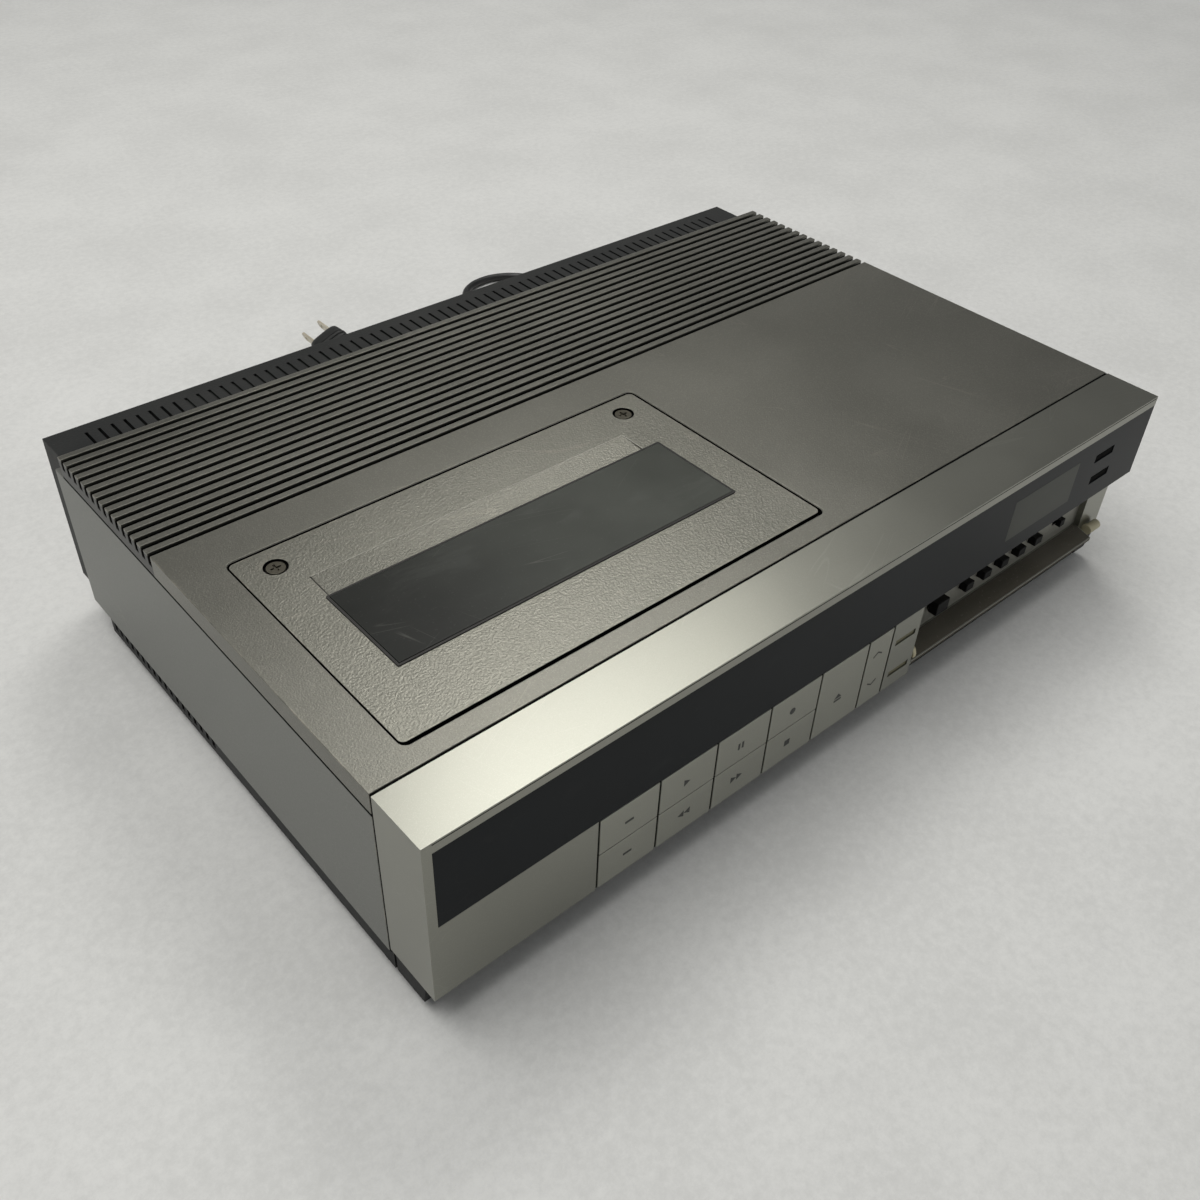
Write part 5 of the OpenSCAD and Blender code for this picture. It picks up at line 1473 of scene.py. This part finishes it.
@dataclass
class MainsLead:
    """Lead, its strain relief and its moulded plug.

    A section of the plug has its distance from the cord end, half its width and height, and its roundness.
    The coil climbs to its upper layer from one count of turns, over a further count. The relief's profile is
    radius and distance, and a ring's is measured from the ring's own radius and start.
    """

    shop: Workshop
    diameter: float = 5.0
    lead: tuple[Point, ...] = (
        (408, 314.1, 30), (408, 322, 29.7), (408, 332, 26.6), (408, 343, 19.6), (408, 354, 11.4),
        (408, 365, 5), (408, 377, 2.7), (408, 393, 2.7), (406, 411, 2.7), (399, 430, 2.7),
        (388, 447, 2.7), (375, 456, 2.7), (360, 458, 2.7), (346, 453, 2.7), (336, 441, 2.7),
        (329, 425, 2.7), (323, 407, 2.7), (319, 390, 2.7))
    tail: tuple[Point, ...] = (
        (285.5, 336.3, 7.6), (271, 334.8, 6.2), (257, 336.8, 3.8), (244, 341, 2.7), (234, 349, 2.7),
        (227, 360, 2.7), (223, 373, 3), (221.5, 385, 6.2), (221.5, 395, 10.2), (221.5, 401, 12.0),
        (221.5, 407.9, 12.2))
    coil_middle: Pair = (282.0, 372.0)
    coil_first_angle: float = 5.0
    coil_turns: float = 6.18
    coil_steps: int = 12
    coil_outer: float = 35.1
    coil_inner: float = 20.1
    coil_pitch: float = 5.05
    coil_turn_back: float = 3.1
    coil_climb: Pair = (2.9, 0.3)
    coil_clear: float = 0.2
    layer_clear: float = 0.05
    relief_place: Point = (408, 286, 30)
    relief_base: tuple[Pair, ...] = (
        (0.0, 0), (4.0, 0), (4.0, 6.6), (5.7, 7.0), (5.75, 7.4), (5.75, 11.6), (5.5, 12.0), (5.0, 12.4))
    relief_ring: tuple[Pair, ...] = ((0.0, 0.0), (0.0, 1.3), (-0.75, 1.5), (-0.8, 2.2))
    relief_tip: tuple[Pair, ...] = ((3.4, 27.4), (3.3, 27.9), (2.9, 28.0), (0.0, 28.0))
    relief_rings: int = 6
    relief_start: float = 13.0
    relief_pitch: float = 2.35
    relief_radius: float = 5.0
    relief_taper: float = 1.45
    plug_place: Point = (221.5, 408.0, 12.2)
    plug_roll: float = 22.0
    plug_sides: int = 48
    plug_sections: tuple[Section, ...] = (
        (0.0, 3.4, 3.4, 1.0), (1.5, 4.0, 4.0, 1.0), (5.0, 4.4, 4.3, 1.0), (8.0, 7.6, 5.2, 0.8),
        (9.5, 9.4, 6.0, 0.62), (11.0, 10.3, 6.5, 0.55), (12.0, 10.5, 6.5, 0.5), (12.4, 10.1, 6.0, 0.5),
        (13.2, 10.1, 6.0, 0.5), (13.6, 10.8, 6.7, 0.5), (15.2, 11.0, 6.8, 0.45), (15.6, 10.5, 6.3, 0.45),
        (16.4, 10.5, 6.3, 0.45), (16.8, 11.1, 7.0, 0.45), (18.4, 11.3, 7.1, 0.42), (18.8, 10.8, 6.5, 0.42),
        (19.6, 10.8, 6.5, 0.42), (20.0, 11.0, 7.0, 0.4), (24.0, 10.9, 6.6, 0.35), (27.2, 10.7, 6.1, 0.32),
        (28.1, 10.4, 5.8, 0.35), (28.5, 9.8, 5.2, 0.4))
    blade: PlugBlade = PlugBlade()
    blade_x: float = 6.35

    def coil(self) -> list[Point]:
        """Points of the coil, in along the table and out again on top.

        Returns:
            Case points, one for each 30 degrees.
        """
        points: list[Point] = []
        for step in range(int(self.coil_turns * self.coil_steps) + 1):
            turns = step / self.coil_steps
            angle = math.radians(self.coil_first_angle - 360 * turns)
            inwards = self.coil_outer - self.coil_pitch * turns
            outwards = self.coil_inner - 0.1 + self.coil_pitch * (turns - self.coil_turn_back)
            radius = max(inwards, self.coil_inner, outwards)
            share = min(1.0, max(0.0, (turns - self.coil_climb[0]) / self.coil_climb[1]))
            climb = (self.diameter + self.layer_clear) * share * share * (3 - 2 * share)
            x = self.coil_middle[0] + radius * math.cos(angle)
            y = self.coil_middle[1] + radius * math.sin(angle)
            points.append((x, y, self.coil_clear + self.diameter / 2 + climb))
        return points

    def jacket(self, pieces: Sequence[bpy.types.Object]) -> None:
        """Adds the lead as one smooth curve.

        Args:
            pieces: The pieces of the plug and the strain relief. They are not used.
        """
        route = [CASE.at(*p) for p in (*self.lead, *self.coil(), *self.tail)]
        data = bpy.data.curves.new("mains_lead", "CURVE")
        data.dimensions = "3D"
        data.bevel_depth = self.diameter / 2 * MM
        data.bevel_resolution = 4
        data.resolution_u = 8
        data.use_fill_caps = True
        spline = data.splines.new("BEZIER")
        spline.bezier_points.add(len(route) - 1)
        for place, point in zip(route, spline.bezier_points):
            point.co = place
            point.handle_left_type = point.handle_right_type = "AUTO"
        lead = self.shop.piece("mains_lead", data, Finishes.jacket, "case", "cord_rubber")
        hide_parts("power_cord", "cord_coil", "cord_tail")
        list(pieces)

    def strain_relief(self) -> bpy.types.Object:
        """Adds the tapered relief with its rings, in place of the plain gland.

        Returns:
            The piece.
        """
        profile = list(self.relief_base)
        for k in range(self.relief_rings):
            start = self.relief_start + k * self.relief_pitch
            outer = self.relief_radius - (k + 0.3) / self.relief_rings * self.relief_taper
            profile += [(outer + grow, start + distance) for grow, distance in self.relief_ring]
        profile += self.relief_tip
        bm = bmesh.new()
        lathe(bm, profile, CASE.at(*self.relief_place), Vector((0, 1, 0)), 36)
        made = self.shop.shape("strain_relief", bm, Finishes.rubber, "case", "cord_rubber", smooth=True)
        made.modifiers.new("crisp rings", "EDGE_SPLIT").split_angle = 0.7
        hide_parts("cord_gland")
        return made

    def plug(self) -> list[bpy.types.Object]:
        """Adds the moulded plug body and its blades.

        Returns:
            The pieces.
        """
        roll = Matrix.Rotation(math.radians(-self.plug_roll), 4, "Y")
        place = Matrix.Translation(CASE.at(*self.plug_place)) @ roll
        bm = bmesh.new()
        rings: list[list[bmesh.types.BMVert]] = []
        for distance, half_width, half_height, roundness in self.plug_sections:
            power = 0.25 + 0.75 * roundness
            corners = [Vector((math.copysign(abs(p.x) ** power, p.x) * half_width, distance,
                               math.copysign(abs(p.y) ** power, p.y) * half_height))
                       for p in circle(1.0, self.plug_sides, 0.0)]
            rings.append([bm.verts.new(place @ (corner * MM)) for corner in corners])
        skin(bm, rings)
        bm.faces.new(rings[0])
        bm.faces.new(rings[-1][::-1])
        body = self.shop.shape("plug_moulding", bm, Finishes.plug, "case", "plug_rubber", smooth=True)
        body.modifiers.new("crisp ends", "EDGE_SPLIT").split_angle = 0.75
        bm = bmesh.new()
        for x in (-self.blade_x, self.blade_x):
            self.blade.add(bm, place, x)
        blades = self.shop.shape("plug_blades", bm, Finishes.nickel, "case", "plug_rubber")
        self.shop.soften(blades, 0.25)
        for made in (body, blades):
            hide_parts("mains_plug")
        return [body, blades]

    def build(self) -> None:
        """Adds the lead and what is on it."""
        relief = self.strain_relief()
        self.jacket([*self.plug(), relief])


# Case and front


@dataclass
class CaseShell:
    """Covers, side panels, tray, feet and plinth.

    A row of the painted shade in the lid's well or of the painted highlight on its edge has how far it runs
    inside the opening, and its height. The tray screw has its head's radius and height.
    """

    shop: Workshop
    seam_y: Pair = (27.53, 28.67)
    seam_z: Pair = (16.0, 101.75)
    seam_inset: float = 0.2
    seam_depth: float = 2.1
    side_seam_inset: float = 0.12
    side_seam_y: Pair = (28.75, 270.9)
    side_seam_z: Pair = (90.7, 92.1)
    rib_y: float = 183.25
    rib_pitch: float = 5.85
    rib_width: float = 3.4
    rib_count: int = 15
    groove_half: float = 214.7
    groove_z: Pair = (96.95, 100.6)
    opening: Sides = (19.6, 231.0, 38.4, 161.0)
    opening_radius: float = 3.4
    well_rows: tuple[Pair, ...] = ((0.01, 98.4), (0.01, 101.5), (0.09, 101.5), (0.09, 98.4))
    edge_rows: tuple[Pair, ...] = ((-0.36, 101.95), (-0.36, 102.015), (0.03, 101.62), (0.03, 101.5))
    tray_screw: Pair = (3.4, 1.6)
    rear_screw: CrossScrew = CrossScrew(3.1, 1.5, 1.5, 4.0)
    rear_screws: tuple[Pair, ...] = ((12, 88), (12, 27), (245, 88), (245, 27), (418, 88), (418, 56))

    def build(self) -> None:
        """Dresses the case's nodes."""
        dress = self.shop.dress
        dress("top_cover", Finishes.bronze_top, 0.3, rub=True)
        dress("left_side_panel", Finishes.bronze_side, 0.4, rub=True)
        dress("right_side_panel", Finishes.bronze_side, 0.4, rub=True)
        dress("rear_cover", Finishes.charcoal, 0.25, rub=True)
        dress("base_tray", Finishes.black, 0.3)
        dress("front_plinth", Finishes.black, 0.4)
        dress("feet", Finishes.rubber, 0.8, rounds=True)
        self.groove_floors()
        self.lid_well()
        self.seam_linings()
        self.screws()

    def seam_linings(self) -> None:
        """Adds painted shade: near-black strips inside the seams around the fascia and under the edge of the
        top cover.
        """
        front, back = self.seam_y
        low, high = self.seam_z
        left, right, depth = self.seam_inset, CASE.width - self.seam_inset, self.seam_depth
        outline = [(left + depth, low), (left + depth, high - depth), (right - depth, high - depth),
                   (right - depth, low), (right, low), (right, high), (left, high), (left, low)]
        bm = bmesh.new()
        prism(bm, [CASE.at(x, front, z) for x, z in outline], Vector((0, (back - front) * MM, 0)))
        for x in (self.side_seam_inset, CASE.width - self.side_seam_inset - depth):
            slab(bm, (x, x + depth), self.side_seam_y, self.side_seam_z)
        self.shop.shape("seam_linings", bm, Finishes.shadow_black, "case", "black_plastic")

    def groove_floors(self) -> None:
        """Adds painted shade: near-black channels between the ribs of the top cover."""
        low, high = self.groove_z
        near, wall, floor = 0.01, 0.06, 0.12
        wide = self.rib_pitch - self.rib_width
        profile = [(near, low), (wide - near, low), (wide - near, high), (wide - wall, high),
                   (wide - wall, low + floor), (wall, low + floor), (wall, high), (near, high)]
        bm = bmesh.new()
        outline = [Vector((-self.groove_half, y, z)) * MM for y, z in profile]
        prism(bm, outline, Vector((2 * self.groove_half * MM, 0, 0)))
        part = Workshop.mesh("groove", bm)
        points = [CASE.at(CASE.width / 2, self.rib_y + k * self.rib_pitch, 0) for k in range(self.rib_count)]
        mesh = REPEATS.copies(part, points, Finishes.shadow_black)
        self.shop.piece("groove_floors", mesh, Finishes.shadow_black, "case", "black_plastic")

    def lid_well(self) -> None:
        """Adds painted shade: the near-black lining on the walls of the lid's opening, and the painted
        highlight along its edge.
        """
        for name, rows, finish, slot in (
                ("lid_well_lining", self.well_rows, Finishes.shadow_black, "black_plastic"),
                ("opening_edge", self.edge_rows, Finishes.rubbed, "bronze_top")):
            bm = bmesh.new()
            band(bm, [rounded(self.opening, -inset, self.opening_radius - inset, z) for inset, z in rows])
            self.shop.shape(name, bm, finish, "case", slot)

    def screws(self) -> None:
        """Adds the screws of the tray and of the rear cover."""
        low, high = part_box("case_screws")
        radius, height = self.tray_screw
        seat = low.z + height * MM
        points = [Vector((x, y, seat)) for x in (low.x + radius * MM, high.x - radius * MM)
                  for y in (low.y + radius * MM, high.y - radius * MM)]
        screw = CrossScrew(radius, height, 1.6, (high.z - seat) / MM)
        made = screw.place(self.shop, "tray_screws", points, Facing.DOWN, seed=3)
        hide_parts("case_screws")
        points = [CASE.at(x, CASE.depth, z) for x, z in self.rear_screws]
        self.rear_screw.place(self.shop, "rear_cover_screws", points, Facing.BACK, seed=8)


@dataclass
class Fascia:
    """Silver front with its keys, recess, band and clock window.

    A pair that ends in _x, _y or _z is where a strip starts and ends along that way. The clip and the lip of
    the pad are outlines of depth and height.
    """

    shop: Workshop
    silver_keys: tuple[str, ...] = (
        "power_key", "source_key", "play_key", "rewind_key", "pause_key", "forward_key", "record_key",
        "stop_key", "eject_key", "channel_rocker")
    black_keys: tuple[str, ...] = (
        "option_key_1", "option_key_2", "option_key_3", "option_key_4", "option_key_5", "speed_switch")
    clock_x: Pair = (318.0, 369.0)
    clock_y: Pair = (-0.04, 0.3)
    clock_z: Pair = (67.0, 89.0)
    recess: Pair = (262.5, 411.0)
    key_left: float = 75.0
    key_pitch: float = 30.3
    key_gap: float = 1.0
    rocker_right: float = 242.0
    gap_y: Pair = (0.5, 2.0)
    gap_z: Pair = (18.1, 57.35)
    row_gap_z: Pair = (37.5, 37.9)
    gap_clear: float = 0.05
    hairline_x: Pair = (4.2, 429.85)
    hairline_y: Pair = (-0.015, 0.28)
    hairline_z: Pair = (100.8, 101.18)
    clip_inset: float = 2.6
    clip_width: float = 2.2
    clip: tuple[Pair, ...] = ((0.6, 25.2), (3.4, 25.9), (3.4, 29.6), (2.8, 30.4), (1.6, 29.8), (0.6, 27.0))
    ledge_z: float = 25.0
    ledge_slope: float = 3.0 / 11.0
    pad_y: Pair = (0.55, 10.2)
    pad_lip: tuple[Pair, ...] = ((0.25, 25.0), (-0.02, 24.85), (-0.02, 23.42), (0.25, 23.42))
    pad_inset: float = 0.6
    pad_under: float = 0.3
    pad_over: float = 0.14
    rim_y: Pair = (-0.035, 0.2)
    rim_z: Pair = (24.72, 25.03)

    def build(self) -> None:
        """Dresses the front's nodes and adds its small pieces."""
        dress = self.shop.dress
        dress("front_fascia", Finishes.silver, 0.13, rub=True)
        dress("front_band", Finishes.band, 0.25)
        dress("recess_panel", Finishes.recess, 0.15)
        dress("hinge_stubs", Finishes.ivory, 0.2)
        for name in self.silver_keys:
            dress(name, Finishes.silver_key, 0.25, rub=True)
        for name in ("timer_key_upper", "timer_key_lower"):
            dress(name, Finishes.olive, 0.2)
        for name in self.black_keys:
            dress(name, Finishes.black_key, 0.4)
        # The band keys take the near black of the painted shade: partly their own black, partly painted shade
        # of their recess in the band.
        for name in ("band_key_upper", "band_key_lower"):
            dress(name, Finishes.shadow_black, 0.12)
        dress("mode_switch", Finishes.black_key, 0.25)
        self.clock_window()
        self.ledge_pad()
        self.hairline()
        self.ledge_clip()
        self.key_gaps()

    def key_gaps(self) -> None:
        """Adds painted shade: near-black strips between the keys, a little behind their faces."""
        columns = [self.key_left + self.key_pitch * k for k in range(6)]
        bm = bmesh.new()
        for x in (*columns, self.rocker_right + self.key_gap):
            slab(bm, (x - self.key_gap + self.gap_clear, x - self.gap_clear), self.gap_y, self.gap_z)
        for x in columns[:4]:
            slab(bm, (x, x + self.key_pitch - self.key_gap), self.gap_y, self.row_gap_z)
        self.shop.shape("key_gap_linings", bm, Finishes.shadow_black, "case", "black_plastic")

    def clock_window(self) -> None:
        """Adds the smoked window of the clock, flush in the band."""
        bm = bmesh.new()
        slab(bm, self.clock_x, self.clock_y, self.clock_z)
        self.shop.shape("clock_window", bm, Finishes.clock, "case", "dark_acrylic")

    def hairline(self) -> None:
        """Adds painted shade: the dark line in the groove along the top of the front."""
        bm = bmesh.new()
        slab(bm, self.hairline_x, self.hairline_y, self.hairline_z)
        self.shop.shape("front_hairline", bm, Finishes.shadow_black, "case", "black_plastic")

    def ledge_clip(self) -> None:
        """Adds the small clip at the left end of the ledge."""
        x = self.recess[0] + self.clip_inset
        bm = bmesh.new()
        prism(bm, [CASE.at(x, y, z) for y, z in self.clip], Vector((self.clip_width * MM, 0, 0)))
        clip = self.shop.shape("ledge_clip", bm, Finishes.ivory, "case", "ivory_plastic")
        self.shop.soften(clip, 0.25)

    def ledge_pad(self) -> None:
        """Adds the dark pad on the sloping ledge of the recess, partly its own colour and partly painted
        shade, and the painted highlight along the ledge's front edge.
        """
        left, right = self.recess[0] + self.pad_inset, self.recess[1] - self.pad_inset
        line = [(y, self.ledge_z + self.ledge_slope * y) for y in self.pad_y]
        pad = [(y, z - self.pad_under) for y, z in line] + [(y, z + self.pad_over) for y, z in reversed(line)]
        bm = bmesh.new()
        for outline in (self.pad_lip, pad):
            prism(bm, [CASE.at(left, y, z) for y, z in outline], Vector(((right - left) * MM, 0, 0)))
        self.shop.shape("ledge_pad", bm, Finishes.ledge, "case", "silver_plastic")
        bm = bmesh.new()
        slab(bm, (left, right), self.rim_y, self.rim_z)
        self.shop.shape("ledge_rim", bm, Finishes.rubbed, "case", "silver_plastic")


class Mark(Enum):
    """Marks printed on the keys."""

    DASH = "dash"
    PLAY = "play"
    PAUSE = "pause"
    RECORD = "record"
    REWIND = "rewind"
    FORWARD = "forward"
    STOP = "stop"
    EJECT = "eject"
    UP = "up"
    DOWN = "down"


@dataclass
class KeyMarks:
    """Transport marks in dark ink, each on its own key."""

    shop: Workshop
    thickness: float = 0.05
    enlarge: float = 1.35
    places: tuple[tuple[Mark, float, float, str], ...] = (
        (Mark.DASH, 89.5, 47.0, "power_key"), (Mark.DASH, 89.5, 28.4, "source_key"),
        (Mark.PLAY, 119.3, 47.0, "play_key"), (Mark.REWIND, 119.3, 28.4, "rewind_key"),
        (Mark.PAUSE, 148.9, 47.0, "pause_key"), (Mark.FORWARD, 148.9, 28.4, "forward_key"),
        (Mark.RECORD, 179.1, 47.0, "record_key"), (Mark.STOP, 179.1, 28.4, "stop_key"),
        (Mark.EJECT, 209.9, 35.6, "eject_key"))
    chevrons: tuple[tuple[Mark, float, float], ...] = ((Mark.UP, 233.6, 47.0), (Mark.DOWN, 233.6, 29.5))

    @staticmethod
    def outlines(mark: Mark) -> list[list[Pair]]:
        """Closed outlines of a mark around its middle.

        Args:
            mark: The mark.

        Returns:
            Outlines in millimetres, across and up.
        """

        def bar(x: float, width: float, z: float, height: float) -> list[Pair]:
            """Corners of an upright bar."""
            ways = ((-1, -1), (1, -1), (1, 1), (-1, 1))
            return [(x + across * width / 2, z + up * height / 2) for across, up in ways]

        def arrow(x: float, way: float) -> list[Pair]:
            """Corners of a solid arrow head."""
            return [(x - way * 1.2, -1.3), (x + way * 1.2, 0.0), (x - way * 1.2, 1.3)]

        def chevron(way: float) -> list[Pair]:
            """Corners of a thin chevron."""
            corners = ((-2.1, -1.0), (-2.1, -0.35), (0.0, 1.0), (2.1, -0.35), (2.1, -1.0), (0.0, 0.4))
            return [(x, way * z) for x, z in corners]

        shapes = {
            Mark.DASH: [bar(0, 3.2, 0, 0.9)],
            Mark.PLAY: [arrow(0, 1.0)],
            Mark.PAUSE: [bar(-0.8, 0.8, 0, 2.6), bar(0.8, 0.8, 0, 2.6)],
            Mark.RECORD: [[(p.x, p.y) for p in circle(1.25, 24, 0.0)]],
            Mark.REWIND: [arrow(-1.25, -1.0), arrow(1.25, -1.0)],
            Mark.FORWARD: [arrow(-1.25, 1.0), arrow(1.25, 1.0)],
            Mark.STOP: [bar(0, 2.4, 0, 2.4)],
            Mark.EJECT: [[(-1.7, -0.3), (1.7, -0.3), (0, 1.6)], bar(0, 3.4, -1.2, 0.8)],
            Mark.UP: [chevron(1.0)],
            Mark.DOWN: [chevron(-1.0)],
        }
        return shapes[mark]

    def _add(self, bm: bmesh.types.BMesh, mark: Mark, x: float, z: float) -> None:
        """Adds one mark to a bmesh.

        Args:
            bm: The bmesh.
            mark: The mark.
            x: Its middle from the left side.
            z: Its middle above the table.
        """
        sunk = 0.05
        for outline in self.outlines(mark):
            corners = [CASE.at(x + self.enlarge * u, sunk, z + self.enlarge * w) for u, w in outline]
            prism(bm, corners, Vector((0, -(sunk + self.thickness) * MM, 0)))

    def build(self) -> None:
        """Adds every mark."""
        for mark, x, z, key in self.places:
            bm = bmesh.new()
            self._add(bm, mark, x, z)
            self.shop.shape("mark_" + key, bm, Finishes.ink, key + "_body", "silver_key")
        bm = bmesh.new()
        for mark, x, z in self.chevrons:
            self._add(bm, mark, x, z)
        self.shop.shape("mark_channels", bm, Finishes.ink, "channel_rocker_body", "silver_key")


@dataclass
class CassetteLid:
    """Lid with its smoked window and two screws, and the holder under it.

    A row of the painted shade in the gap around the lid has how far it runs outside the lid, and its height.
    A row of the painted shade band around the window has how far it runs outside the window, its corner
    radius, and its height above the lid.
    """

    shop: Workshop
    top_z: float = 101.4
    window: Sides = (41.35, 210.85, 73.0, 120.0)
    outline: Sides = (20.5, 230.1, 40.6, 160.1)
    outline_radius: float = 2.5
    lid_gap_shadow_rows: tuple[Pair, ...] = ((0.06, 99.3), (0.06, 101.2), (0.005, 101.2), (0.005, 99.3))
    ramp: Sides = (41.85, 202.85, 120.0, 135.0)
    ramp_depth: float = 0.9
    ramp_foot: float = 1.1
    crease_width: float = 0.7
    rim_width: float = 0.3
    rim_rise: float = 0.015
    window_gap_shade_rows: tuple[Point, ...] = (
        (1.0, 0.9, -1.1), (1.0, 0.9, 0.35), (0.88, 0.8, 0.45), (-0.05, 0.35, 0.45), (-0.25, 0.2, 0.2),
        (-0.25, 0.2, -1.1))
    screw_radius: float = 3.9
    cup_radius: float = 4.97
    cup_wall: float = 0.12
    cup_hole: float = 3.6
    cup_height: float = 1.45
    cup_z: float = -1.6

    def lid_gap_shadow(self) -> None:
        """Adds painted shade: the near-black band in the gap around the edge of the lid."""
        bm = bmesh.new()
        band(bm, [rounded(self.outline, grow, self.outline_radius + grow, z) for grow, z in self.lid_gap_shadow_rows])
        self.shop.shape("lid_edge_lining", bm, Finishes.shadow_black, "holder", "black_plastic")

    def ramp_edges(self) -> None:
        """Adds painted shade along the corner at the left end of the ramp behind the window, and painted
        highlights along the ramp's back and right edges.
        """
        left, right, front, back = self.ramp
        low, high = self.top_z - self.ramp_depth, self.top_z
        foot = front + self.ramp_foot
        section = ((foot, low), (back, high - 0.05), (back, high + 0.02), (foot, low + 0.12))
        bm = bmesh.new()
        prism(bm, [CASE.at(left + 0.02, y, z) for y, z in section], Vector((self.crease_width * MM, 0, 0)))
        self.shop.shape("ramp_crease", bm, Finishes.crease_shade, "holder", "bronze_top")
        top = high + self.rim_rise
        edge = right + self.rim_width
        bm = bmesh.new()
        slab(bm, (left + 0.8, edge), (back - 0.05, back + 0.17), (high - 0.1, top))
        slab(bm, (right - 0.02, edge), (foot, back - 0.05), (high - 0.2, top))
        self.shop.shape("ramp_rim", bm, Finishes.rubbed, "holder", "bronze_top")

    def window_gap_shade(self) -> None:
        """Adds the thin dark band around the window, painted shade of the gap between the window and the lid.
        """
        bm = bmesh.new()
        band(bm, [rounded(self.window, grow, radius, self.top_z + z, step=15)
                  for grow, radius, z in self.window_gap_shade_rows])
        self.shop.shape("window_gasket", bm, Finishes.window_gap_shade, "holder", "black_plastic")

    def screw_cups(self) -> None:
        """Adds painted shade: the near-black cups that the lid's screws sit in."""
        low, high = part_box("lid_screws")
        outer, inner, hole = self.cup_radius, self.cup_radius - self.cup_wall, self.cup_hole
        floor, top = 0.1, self.cup_height
        profile = ((hole, 0.0), (outer, 0.0), (outer, top), (inner, top), (inner, floor), (hole, floor))
        bm = bmesh.new()
        for x in (low.x + self.screw_radius * MM, high.x - self.screw_radius * MM):
            start = Vector((x, (low.y + high.y) / 2, (self.top_z + self.cup_z) * MM))
            band(bm, [[start + p * MM for p in circle(r, 40, z)] for r, z in profile])
        self.shop.shape("screw_cups", bm, Finishes.shadow_black, "holder", "black_plastic")

    def build(self) -> None:
        """Dresses the lid's nodes and adds its small pieces."""
        self.window_gap_shade()
        self.lid_gap_shadow()
        self.ramp_edges()
        self.screw_cups()
        dress = self.shop.dress
        dress("cassette_lid", Finishes.bronze_lid, 0.15, rub=True)
        dress("lid_window", Finishes.window, 0.3)
        dress("lid_screws", Finishes.screw, 0.15)
        dress("cassette_holder", Finishes.zinc, 0.3)
        for name in ("lift_arms_front", "lift_arms_rear", "lift_frame", "lid_latch"):
            dress(name, Finishes.zinc, 0.2, rounds=True)


@dataclass
class TapeDeck:
    """Deck plate, drum, reels and the boards under them."""

    shop: Workshop

    def build(self) -> None:
        """Dresses the deck's nodes."""
        dress = self.shop.dress
        dress("deck_chassis", Finishes.zinc, 0.2)
        dress("tape_path", Finishes.aluminium, 0.25, rounds=True)
        dress("upper_drum", Finishes.aluminium, 0.25, rounds=True)
        dress("capstan_rotor", Finishes.dark_metal, 0.25, rounds=True)
        dress("capstan_stator", Finishes.dark_metal, 0.25, rounds=True)
        dress("pinch_arm", Finishes.roller, 0.2, rounds=True)
        dress("supply_reel", Finishes.reel, 0.2, rounds=True)
        dress("takeup_reel", Finishes.reel, 0.2, rounds=True)
        dress("threading_posts", Finishes.zinc, 0.15, rounds=True)
        dress("main_board", Finishes.board, 0.15)
        dress("key_board", Finishes.board, 0.15)
        dress("tuner_module", Finishes.tin, 0.3)
        dress("power_supply", Finishes.zinc, 0.25)


@dataclass
class RearPanel:
    """Terminal plate with its sockets and screws. The insulator's profile is radius and distance."""

    shop: Workshop
    plate_y: float = 288.0
    phono_z: float = 41.0
    aerial_z: float = 61.0
    phono_x: tuple[float, ...] = (312.0, 332.0, 352.0, 372.0)
    aerial_x: tuple[float, ...] = (312.0, 332.0)
    insulator: tuple[Pair, ...] = (
        (0, 0.0), (4.1, 0.0), (4.1, 0.2), (4.9, 0.2), (5.1, 0.5), (5.1, 1.1), (4.9, 1.4), (4.2, 1.4),
        (4.2, 1.5), (0, 1.5))
    thread_start: float = 3.2
    thread_pitch: float = 0.8
    thread_count: int = 7
    thread_radius: float = 4.62
    thread_wire: float = 0.3
    plate_screw: CrossScrew = CrossScrew(2.3, 1.0, 1.1, 3.0, 24)
    plate_screws: tuple[Pair, ...] = ((299.0, 66.0), (385.0, 66.0), (299.0, 33.0), (385.0, 33.0))

    def build(self) -> None:
        """Dresses the plate and adds its sockets' parts."""
        self.shop.dress("terminal_plate", Finishes.terminal, 0.2, rounds=True)
        bm = bmesh.new()
        for x in self.phono_x:
            lathe(bm, self.insulator, CASE.at(x, self.plate_y, self.phono_z), Vector((0, 1, 0)), 32)
        self.shop.shape("socket_insulators", bm, Finishes.insulator, "case", "terminal_metal")
        step = Vector((0, self.thread_pitch * MM, 0))
        for index, x in enumerate(self.aerial_x, 1):
            start = CASE.at(x, self.plate_y + self.thread_start, self.aerial_z)
            mesh = REPEATS.rings(start, step, self.thread_count, self.thread_radius * MM,
                                 self.thread_wire * MM, Finishes.nickel)
            self.shop.piece(f"aerial_thread_{index}", mesh, Finishes.nickel, "case", "terminal_metal")
        points = [CASE.at(x, self.plate_y, z) for x, z in self.plate_screws]
        self.plate_screw.place(self.shop, "plate_screws", points, Facing.BACK, seed=5)


# The whole scene


def main() -> None:
    """Builds the recorder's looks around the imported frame."""
    logging.basicConfig(level=logging.INFO, format="%(message)s")
    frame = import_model()
    shop = Workshop(frame)
    Studio().build()
    MainsLead(shop).build()
    CaseShell(shop).build()
    Fascia(shop).build()
    KeyMarks(shop).build()
    CassetteLid(shop).build()
    TapeDeck(shop).build()
    RearPanel(shop).build()


if __name__ == "__main__":
    main()
